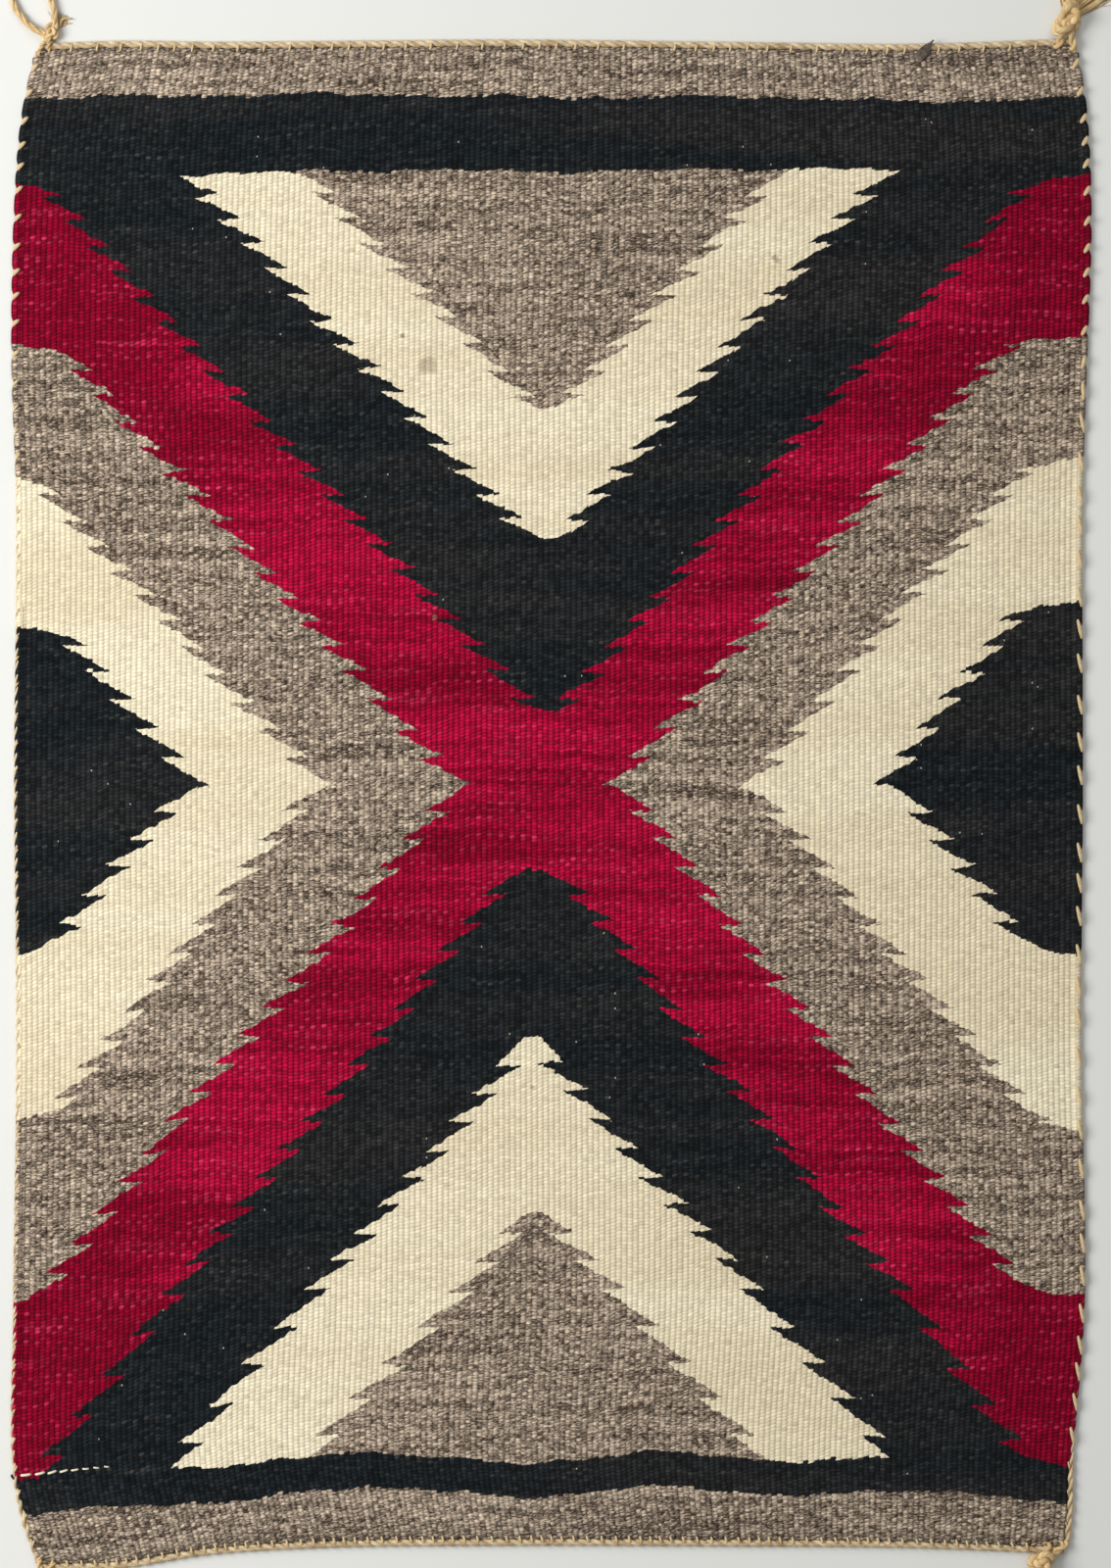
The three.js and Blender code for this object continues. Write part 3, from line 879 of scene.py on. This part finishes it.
# %% Binding loops of the end cords
BINDING_RADIUS = 0.62 * MM
BINDING_STEPS = 9
BINDING_MIDDLE, BINDING_REACH = 0.6 * MM, 2.1 * MM  # out from the cloth's end, and half a loop's span
BINDING_BASE, BINDING_RISE = 2.0 * MM, 2.75 * MM
BINDING_SLANT = 1.5 * MM


def binding_loops(name, along, outward, count, unevenness):
    """Short loops from the outside of an end cord over its top and down into the cloth, slanted
    across: each is a half ellipse in the height, with its middle over the cord. Their even steps
    are moved by a sine of their number."""
    shares = (np.arange(count) + 0.5) / count
    shares = 0.02 + 0.95 * shares + unevenness * np.sin(7.0 * np.arange(count))
    base = cloth_point(shares, 0 * shares + along, 0.0)[:, None]
    angle = np.linspace(-0.15, np.pi, BINDING_STEPS)
    path = np.repeat(base, BINDING_STEPS, axis=1)
    path[..., 0] += BINDING_SLANT * (0.5 - angle / np.pi)
    path[..., 1] += outward * (BINDING_MIDDLE + BINDING_REACH * np.cos(angle))
    path[..., 2] = BINDING_BASE + BINDING_RISE * np.sin(angle)
    loops = add_piece(name, *tubes(path, BINDING_RADIUS, 6))
    return finished(loops, pale_wool, "cord_wool")


head_loops = binding_loops("head_binding_loops", 1, 1, 46, 0.007)
foot_loops = binding_loops("foot_binding_loops", 0, -1, 80, 0.0035)

# %% [markdown]
# ## The selvages
# Along each side the wefts turn back round a two-ply cord. Their colour covers it, and only in a
# row of dips between the wraps does the tan cord come over the edge. So each side has three
# pieces: a roll of weft that dips at every turn of the cord, the cord inside it, and the short
# leaves of cord that lie over the edge in the dips. The roll wears the cloth's own material, at
# the cloth's own rows and warps. Two tables give how the dips and the leaves change along a side.

# %% Selvage helpers
SIDE_CORD_RADIUS = 1.6 * MM
SIDE_PLY_OFFSET, SIDE_PLY_RADIUS = 0.78 * MM, 0.84 * MM
SIDE_CORD_TURN = 15.0 * MM
SIDE_STEPS = 1100
ROLL_INSET = 2.2 * MM
ROLL_HALF_HEIGHT = CLOTH_THICKNESS / 2 + 0.05 * MM
ROLL_ANGLES = np.radians([84, 56, 28, 0, -28, -56, -84])
DIP_WIDTH = 2.6 * MM
LEAF_STEPS = 12
# Share of the length from the foot, bulge of the roll, depth of its dips, length, radius and lean of
# a leaf, in millimetres and degrees, where a leaf that leans by more than 0 climbs to the right, then
# the leaf's place as a share of the bulge, the cord's thickness as a share of its full one, and the
# millimetres from one leaf to the next
BULGE, DIP_DEPTH, LEAF_LENGTH, LEAF_RADIUS, LEAF_LEAN, LEAF_PLACE, CORD_SHARE, LEAF_PITCH = range(1, 9)
LEFT_SELVAGE = np.array([
    [0.000, 2.4, 0.6, 4.0, 0.80, 20, 0.50, 1.00, 14.8],
    [0.014, 2.2, 0.4, 4.0, 0.80, 20, 0.50, 1.00, 14.8],
    [0.026, 0.8, 0.0, 3.0, 0.50, 20, 0.50, 1.45, 14.8],
    [0.045, 2.6, 0.4, 4.0, 0.60, 24, 0.50, 1.00, 14.8],
    [0.120, 3.2, 0.4, 4.0, 0.60, 28, 0.60, 1.00, 14.8],
    [0.450, 3.2, 0.4, 3.4, 0.50, 36, 0.70, 1.00, 14.8],
    [0.740, 3.5, 0.5, 3.4, 0.50, 40, 0.65, 0.90, 14.8],
    [0.800, 3.9, 1.3, 5.4, 1.20, 52, 0.42, 0.70, 14.8],
    [1.000, 3.8, 1.2, 5.8, 1.25, 44, 0.42, 0.70, 14.8],
])
RIGHT_SELVAGE = np.array([
    [0.000, 0.6, 0.0, 3.0, 0.40, -14, 0.50, 1.30, 17.0],
    [0.045, 0.8, 0.0, 3.0, 0.40, -14, 0.50, 1.25, 17.0],
    [0.070, 3.2, 0.8, 11.0, 1.05, -13, 0.64, 0.75, 17.0],
    [0.200, 3.3, 0.8, 13.0, 1.15, -13, 0.64, 0.75, 20.5],
    [0.760, 3.6, 0.7, 12.0, 1.10, -13, 0.62, 0.74, 20.0],
    [0.810, 3.9, 1.4, 6.4, 1.30, 30, 0.50, 0.70, 15.2],
    [1.000, 3.8, 1.5, 6.4, 1.40, 34, 0.50, 0.70, 15.2],
])


def from_table(wraps, share, column):
    """A selvage table's value at a share of the length, on straight lines between its rows."""
    return np.interp(share, wraps[:, 0], wraps[:, column])


def along_side(across):
    """Shares of the length, points and run of length along a side edge of the cloth."""
    along = np.linspace(0.004, 0.996, SIDE_STEPS)
    edge = cloth_point(0 * along + across, along, 0.0)
    return along, edge, path_length(edge[None])[0]


def dip_runs(run, wraps):
    """The places of the dips along a side. The table's pitch sums up to the number of dips from the
    foot, each dip is half a pitch past a whole number, and two slow waves move it a little."""
    pitch = from_table(wraps, run / run[-1], LEAF_PITCH) * MM
    passed = np.cumsum(np.gradient(run) / pitch)
    step = np.interp(np.arange(0.5, passed[-1]), passed, run)
    return step + 2.2 * MM * np.sin(step / (37 * MM)) + 1.6 * MM * np.sin(step / (11 * MM))


def roll_reach(run, wraps):
    """How far the roll bulges past the cloth's edge: the table's bulge, less a dip, shaped like a
    bell, at each turn of the cord."""
    share = run / run[-1]
    nearest = np.abs(run[:, None] - dip_runs(run, wraps)).min(axis=1)
    bulge, depth = (from_table(wraps, share, column) * MM for column in (BULGE, DIP_DEPTH))
    return bulge - depth * np.exp(-((nearest / DIP_WIDTH) ** 2))


# %% Rolls, leaves and side cords
def selvage_roll(name, across, outward, wraps):
    """A roll along a side: at each step a half ellipse from above the cloth's edge round to below."""
    along, edge, run = along_side(across)
    reach = ROLL_INSET + roll_reach(run, wraps)
    ring = edge[:, None].repeat(len(ROLL_ANGLES), axis=1)
    ring[..., 0] += outward * (reach[:, None] * np.cos(ROLL_ANGLES) - ROLL_INSET)
    ring[..., 2] = CLOTH_THICKNESS / 2 + ROLL_HALF_HEIGHT * np.sin(ROLL_ANGLES)
    warp = across * WARPS + (ring[..., 0] - edge[:, :1]) / WARP_PITCH
    row = weft_row(across, along)[:, None]
    weave = np.stack(np.broadcast_arrays(warp, row, 0.0), axis=-1)
    quads = grid_faces(SIDE_STEPS, len(ROLL_ANGLES))
    caps = end_caps(SIDE_STEPS, len(ROLL_ANGLES))
    if outward < 0:
        quads, caps = quads[:, ::-1], [cap[::-1] for cap in caps]
    roll = add_piece(name, ring.reshape(-1, 3), quads, caps, weave.reshape(-1, 3))
    return finished(roll, rug.material, "woven_wool")


def cord_leaves(name, across, outward, wraps):
    """Leaves of cord over the roll's dips: tubes that swell and taper, follow the roll's ellipse
    in height, and dive in at both ends."""
    _, edge, run = along_side(across)
    places = dip_runs(run, wraps)
    columns = (LEAF_LENGTH, LEAF_RADIUS, LEAF_LEAN, LEAF_PLACE)
    length, radius, lean, place = (from_table(wraps, places / run[-1], c)[:, None] for c in columns)
    bulge = np.interp(places, run, roll_reach(run, wraps))[:, None]
    u = np.linspace(-1, 1, LEAF_STEPS)
    x = 0.5 * length * MM * np.sin(np.radians(lean)) * u
    y = 0.5 * length * MM * np.cos(np.radians(lean)) * u
    out = np.clip(outward * x + place * bulge, -ROLL_INSET, bulge - 0.2 * MM)
    slope = np.clip((out + ROLL_INSET) / (bulge + ROLL_INSET), 0, 1)
    height = CLOTH_THICKNESS / 2 + ROLL_HALF_HEIGHT * np.sqrt(1 - slope**2)
    height += radius * MM * (0.7 - 1.5 * u**4)
    side_x = np.interp(places, run, edge[:, 0])[:, None] + outward * out
    side_y = np.interp(places, run, edge[:, 1])[:, None] + y
    paths = np.stack([side_x, side_y, height], axis=-1)
    leaves = add_piece(name, *tubes(paths, radius * MM * np.sqrt(1 - 0.8 * u**2), 7))
    return finished(leaves, pale_wool, "cord_wool")


def side_cord(node, across, outward, wraps):
    """The cord inside a selvage. Its wraps squeeze it to the table's share of its full thickness."""
    low, high = (np.array(corner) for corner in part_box(node))
    along = np.linspace(0, 1, SIDE_STEPS)
    path = cloth_point(0 * along + across, along, CLOTH_THICKNESS / 2)
    path[:, 0] += outward * (SIDE_CORD_RADIUS + SEAT_GAP)
    in_node = (path[:, 1] > low[1]) & (path[:, 1] < high[1])
    share = from_table(wraps, along[in_node], CORD_SHARE)[None]
    wound = plies(path[in_node][None], SIDE_PLY_OFFSET * share[..., None], SIDE_CORD_TURN)
    cord = add_piece(node + "_twisted", *tubes(wound, SIDE_PLY_RADIUS * share, 7))
    return finished(cord, tan_wool, "cord_wool", node)


for side, across, outward, wraps in (("left", 0, -1, LEFT_SELVAGE), ("right", 1, 1, RIGHT_SELVAGE)):
    selvage_roll("selvage_" + side, across, outward, wraps)
    cord_leaves("cord_leaves_" + side, across, outward, wraps)
    side_cord("side_cord_" + side, across, outward, wraps)

# %% [markdown]
# ## The corner ties
# At each corner the cords of two edges are knotted together and their ends hang loose as a
# frayed tuft. An overhand knot is a trefoil, so the knot is a cord carried along that curve,
# pressed flat on the floor. The tuft is a fan of yarns that fall from the knot to the floor,
# each with its own waves, and finer fibres stray round it. Two short cords join the knot to the
# cloth. All of it keeps to the place that the frame gives the tie.

# %% Tie helpers
TIE_PLY_OFFSET, TIE_PLY_RADIUS = 1.0 * MM, 1.1 * MM
TIE_TURN = 11.0 * MM
KNOT_STEPS = 150
TUFT_STEPS = 18
TUFT_YARN_RADIUS, TUFT_YARN_WAVE = 0.85 * MM, 2.0 * MM
TUFT_FIBRE_RADIUS, TUFT_FIBRE_WAVE = 0.16 * MM, 2.4 * MM
# Node, shares across and along of its corner, root from the corner in x and y, heading, length and
# radius of the knot, thickness of its cord as a share of a plain one, then fan, reach, yarns and fine
# fibres of its tuft
CORNER_TIES = [
    ("corner_tie_head_left", 0, 1, 2.8, 4.5, 62, 13, 5.0, 0.95, 22, 15, 2, 50),
    ("corner_tie_head_right", 1, 1, -8.0, 4.0, 64, 24, 8.0, 1.9, 66, 42, 22, 80),
    ("corner_tie_foot_left", 0, 0, 3.0, -4.0, -104, 16, 7.0, 1.4, 60, 38, 22, 80),
    ("corner_tie_foot_right", 1, 0, -10.0, -1.2, -108, 17, 8.6, 1.8, 60, 38, 22, 80),
]
stray = np.random.default_rng(7)


def placed(origin, heading, forward, leftward, height):
    """Points forward of an origin along a heading in the floor's plane, to its left, and up."""
    cos, sin = np.cos(heading), np.sin(heading)
    x = origin[0] + forward * cos - leftward * sin
    y = origin[1] + forward * sin + leftward * cos
    return np.stack(np.broadcast_arrays(x, y, height), axis=-1)


def wound_cord(path, scale, steps=60, turn=TIE_TURN, count=2):
    """A cord of count plies along a few points, its plies once round in the length turn."""
    wound = plies(resampled(path, steps)[None], TIE_PLY_OFFSET * scale, turn * scale, count)
    return tubes(wound, TIE_PLY_RADIUS * scale, 7)


def knot_cord(middle, heading, length, radius, scale):
    """A two-ply cord on a trefoil: forward sin t + 2 sin 2t, leftward cos t - 2 cos 2t, up -sin 3t."""
    t = np.linspace(0, 2 * np.pi + 0.2, KNOT_STEPS)
    thick = (TIE_PLY_OFFSET + TIE_PLY_RADIUS) * scale
    forward = (np.sin(t) + 2 * np.sin(2 * t)) * (length / 2 - thick) / 2.7
    leftward = (np.cos(t) - 2 * np.cos(2 * t)) * (radius - thick) / 2.8
    rise = 0.30 * radius
    path = placed(middle, heading, forward, leftward, thick + rise * (1 - np.sin(3 * t)))
    return tubes(plies(path[None], TIE_PLY_OFFSET * scale, TIE_TURN * scale), TIE_PLY_RADIUS * scale, 7)


def tuft(middle, heading, count, fan, reach, radius, waviness):
    """Yarns that fan out from a knot: straight headings spread over the fan, a sideways wave that
    grows along the yarn, and a fall from the knot's height to the floor in the first third."""
    spread = np.linspace(-0.5, 0.5, count) + stray.normal(0, 0.3 / count, count)
    length = reach * stray.uniform(0.78, 1.0, count)
    phase = stray.uniform(0, 2 * np.pi, (2, count))
    u = np.linspace(0, 1, TUFT_STEPS)
    wave = waviness * np.sin(phase[0][:, None] + u * stray.uniform(4, 9, count)[:, None]) * u
    curl = 3.4 * MM * 2 * spread[:, None] * u**3
    fall = np.clip(1 - u / 0.4, 0, 1) ** 2
    lift = (2.6 * MM + 1.2 * MM * np.sin(phase[1])[:, None]) * fall
    rest = radius * (1.1 + 0.5 * (1 + np.sin(phase[1]))[:, None])
    path = placed(middle, heading + spread[:, None] * fan, length[:, None] * u, curl + wave, rest + lift)
    taper = radius * np.where(u > 0.8, 1 - 0.6 * (u - 0.8) / 0.2, 1.0)
    return tubes(path, np.broadcast_to(taper, (count, TUFT_STEPS)), 5)


# %% Corner ties
LOOP_LEAN = np.radians(58)
LOOP_WIDTH, LOOP_REACH = 18 * MM, 38 * MM
LEG_OVER, LEG_AT_EDGE, LEG_IN_CLOTH = 5.2 * MM, 3.6 * MM, 1.8 * MM  # heights of a leg from knot to cloth
LEG_DIVE = 1.2 * MM


def corner_tie(
    node, across, along, root_x, root_y, heading, length, radius, scale, fan, reach, yarns, fibres
):
    """A knot, its tuft of yarns and of fine fibres, two legs of cord into the cloth and, at the head's
    left, a loop: each is placed from the corner's root along the heading."""
    corner = cloth_point(np.float64(across), np.float64(along), 0.0)
    heading, fan = np.radians(heading), np.radians(fan)
    length, radius, reach = length * MM, radius * MM, reach * MM
    root = corner + np.array([root_x, root_y, 0.0]) * MM
    middle = placed(root, heading, length / 2, 0.0, 0.0)
    parts = [
        knot_cord(middle, heading, length, radius, scale),
        tuft(middle, heading, yarns, fan, reach, TUFT_YARN_RADIUS, TUFT_YARN_WAVE),
        tuft(middle, heading, fibres, 1.2 * fan, 0.95 * reach, TUFT_FIBRE_RADIUS, TUFT_FIBRE_WAVE),
    ]
    into_cloth = np.array([1 - 2 * across, 1 - 2 * along, 0.0])
    for aside, inward in ((-0.8 * MM, 1.4 * MM), (radius, 0.0)):
        end = corner + into_cloth * np.array([aside, inward, 0.0])
        start = placed(middle, heading, 0.0, 0.0, 0.8 * radius)
        over = (start + end) / 2
        over[2] = LEG_OVER
        down = end + into_cloth * LEG_DIVE
        leg = [start, over, end + [0, 0, LEG_AT_EDGE], down + [0, 0, LEG_IN_CLOTH]]
        parts.append(wound_cord(leg, 0.6 * scale))
    if node == "corner_tie_head_left":
        half = LOOP_WIDTH / 2
        forward = LOOP_REACH * np.array([0, 1 / 3, 0.75, 1, 0.75, 1 / 3, 0])
        leftward = half * np.array([1 / 3, 1, 1, 0, -1, -1, -1 / 3])
        height = np.array([4.0, 2.6, 2.1, 2.1, 2.1, 2.6, 4.0]) * MM
        loop = placed(middle, heading + LOOP_LEAN, forward, leftward, height)
        parts.append(wound_cord(loop, 0.95, 130, 2.2 * TIE_TURN, 3))
    tie = add_piece(node + "_knotted", *joined(*parts))
    return finished(tie, tie_wool, "tie_wool", node)


tie_wool = spun_wool("tie_wool", rgb(174, 138, 88), rgb(244, 216, 164), 0.11, 0.25 * MM)
ties = [corner_tie(*row) for row in CORNER_TIES]

# %% [markdown]
# ## Fuzz
# Wool never ends cleanly: single fibres stand out of the end cords all along. They are too fine to
# be seen one by one from a step away, but they soften the cord's edge. Blender's hair could make
# them, but thin tubes are plain mesh like every other piece. Each one leaves the cord in some
# direction and bends over.

# %% Fibres on the end cords
FUZZ_FIBRES, FUZZ_STEPS = 1000, 6
FUZZ_REACH, FUZZ_RADIUS = 3.2 * MM, 0.07 * MM


def cord_fuzz(name, path):
    """Fibres out of a cord's path: each goes out square to it by the reach times u, in a direction
    from one level side over the top to the other, and along it by the square of u."""
    at = stray.integers(0, len(path), FUZZ_FIBRES)
    tangent, side, up = (axes[0, at][:, None] for axes in path_frame(path[None]))
    turn = stray.uniform(0, np.pi, (FUZZ_FIBRES, 1, 1))
    reach = FUZZ_REACH * stray.uniform(0.55, 1.0, (FUZZ_FIBRES, 1, 1))
    bend = stray.normal(0, 0.7, (FUZZ_FIBRES, 1, 1))
    u = np.linspace(0.2, 1, FUZZ_STEPS)[:, None]
    out = reach * u * (np.cos(turn) * side + np.sin(turn) * up)
    fibres = path[at][:, None] + out + reach * bend * u**2 * tangent
    fibres[..., 2] = np.maximum(fibres[..., 2], FUZZ_RADIUS)
    piece = add_piece(name, *tubes(fibres, FUZZ_RADIUS * (1 - 0.6 * u[:, 0] ** 2), 3))
    return finished(piece, pale_wool, "cord_wool")


for end, along, outward in (("head", 1, 1), ("foot", 0, -1)):
    cord_fuzz("cord_fuzz_" + end, end_path(along, outward, 0.01))

# %% [markdown]
# ## A loose end and a mend
# One end of grey weft has worked out of the head edge and lies over the cord, pointing up to the
# right. Near the foot, at the left, the cloth has been caught together with a running stitch of
# cream thread: each stitch is a short arch that rises from the cloth and dives back in. A small
# dark knot lies at the selvage beside it.

# %% Loose weft end
LOOSE_ACROSS, LOOSE_LENGTH, LOOSE_WIDTH = 211 * MM, 14.5 * MM, 6.8 * MM
LOOSE_LEAN = np.radians(90 - 40)
LOOSE_FIBRES, LOOSE_STEPS = 34, 14
LOOSE_RADIUS, LOOSE_WANDER = 0.30 * MM, 0.35 * MM
LOOSE_HEIGHT, LOOSE_LAYER, LOOSE_ARCH = 4.3 * MM, 0.45 * MM, 1.0 * MM

loose_share = LOOSE_ACROSS / (2 * HALF_WIDTH) + 0.5
loose_root = cloth_point(np.float64(loose_share), np.float64(1.0), 0.0) - [0, LOOSE_LENGTH / 3, 0]
u = np.linspace(0, 1, LOOSE_STEPS)
place = np.linspace(-1, 1, LOOSE_FIBRES)[:, None]
belly = LOOSE_WIDTH / 2 * (0.55 + 1.1 * u * (1 - u)) * (1 - u**3)
fibre_number = np.arange(LOOSE_FIBRES)[:, None]
wander = LOOSE_WANDER * np.sin(9 * u + 5 * place * fibre_number)
layer = LOOSE_LAYER * (fibre_number % 3)
arch = LOOSE_HEIGHT + layer + LOOSE_ARCH * np.sin(np.pi * np.clip(u * 1.15, 0, 1))
reach = LOOSE_LENGTH * u * (1 - 0.12 * place**2)
fibre_paths = placed(loose_root, LOOSE_LEAN, reach, wander - place * belly, arch)
loose_end = add_piece("loose_weft_fibres", *tubes(fibre_paths, LOOSE_RADIUS * (1 - 0.6 * u), 5))
grey_wool = spun_wool("grey_wool", rgb(70, 61, 54), rgb(150, 136, 122), 0.11, 0.1 * MM)
finished(loose_end, grey_wool, "grey_wool", "loose_weft_end")

# %% Mending stitches
STITCHES, STITCH_STEPS = 8, 11
STITCH_SINK, STITCH_RISE = 0.35 * MM, 1.0 * MM
FIRST_STITCH = np.array([-298.5, -387.5]) * MM  # from the cloth's own middle
LAST_STITCH = np.array([-252.5, -382.8]) * MM

order = np.linspace(0, 1, STITCHES)
stitch_length = (5.2 - 2.6 * order) * MM
stitch_radius = (0.78 - 0.34 * order) * MM
middles = FIRST_STITCH + order[:, None] ** 0.9 * (LAST_STITCH - FIRST_STITCH) + SHIFT
v = np.linspace(-0.5, 0.5, STITCH_STEPS)
stitch_x = middles[:, :1] + stitch_length[:, None] * v
stitch_y = middles[:, 1:] + stitch_length[:, None] * v * (0.12 + 0.2 * np.sin(5 * order))[:, None]
stitch_z = CLOTH_THICKNESS - STITCH_SINK + STITCH_RISE * np.sqrt(1 - (2 * v) ** 2)
stitch_paths = np.stack(np.broadcast_arrays(stitch_x, stitch_y, stitch_z), axis=-1)
mend = add_piece("mending_stitches", *tubes(stitch_paths, stitch_radius[:, None], 7))
mend_thread = spun_wool("mending_thread", rgb(214, 200, 168), rgb(246, 238, 216), 0.2, 0.1 * MM)
finished(mend, mend_thread, "cord_wool")

# %% Knot at the mend
MEND_KNOT_PLACE = np.array([-306.0, -389.0]) * MM  # from the cloth's own middle
MEND_KNOT_SIZE = 3.4 * MM

mend_knot_tubes = knot_cord(MEND_KNOT_PLACE + SHIFT, 0.0, MEND_KNOT_SIZE, MEND_KNOT_SIZE / 2, 0.3)
mend_knot = add_piece("mending_knot", *mend_knot_tubes)
dark_thread = spun_wool("dark_thread", rgb(20, 20, 20), rgb(48, 46, 44), 0.2, 0.1 * MM)
finished(mend_knot, dark_thread, "grey_wool")

# %% [markdown]
# ## The floor and the light
# A plain pale floor, and soft light from two wide panels with a dim sky all round. The panel on the
# left is the nearer and the stronger, so the ribs of the cloth show. The other stands past the head,
# so the light falls off a little towards the foot's right corner.

# %% Floor and lights
FLOOR_HALF = 6.0
floor_mesh = bpy.data.meshes.new("floor")
floor_corners = np.array([[-1, -1, 0], [1, -1, 0], [1, 1, 0], [-1, 1, 0]]) * FLOOR_HALF
floor_mesh.from_pydata(floor_corners.tolist(), [], [(0, 1, 2, 3)])
floor = bpy.data.objects.new("floor", floor_mesh)
bpy.context.collection.objects.link(floor)
paper = Shader("pale_floor")
paper.principled.inputs["Base Color"].default_value = rgb(222, 222, 217)
paper.principled.inputs["Roughness"].default_value = 0.9
floor_mesh.materials.append(paper.material)


def panel_light(name, place, size, power):
    """A square soft light that faces the middle of the rug."""
    data = bpy.data.lights.new(name, "AREA")
    data.shape = "SQUARE"
    data.size = size
    data.energy = power
    light = bpy.data.objects.new(name, data)
    light.location = place
    toward = -light.location
    light.rotation_euler = toward.to_track_quat("-Z", "Y").to_euler()
    bpy.context.collection.objects.link(light)


panel_light("left_panel", (-1.45, 0.2, 1.45), 1.2, 42.0)
panel_light("head_panel", (0.6, 2.2, 2.2), 1.8, 16.0)
world = bpy.data.worlds.new("sky")
world.use_nodes = True
world.node_tree.nodes["Background"].inputs["Color"].default_value = (0.95, 0.97, 1.0, 1.0)
world.node_tree.nodes["Background"].inputs["Strength"].default_value = 0.34
bpy.context.scene.world = world
bpy.context.scene.view_settings.view_transform = "Standard"
print("two panels, a sky and a floor of", 2 * FLOOR_HALF, "m")
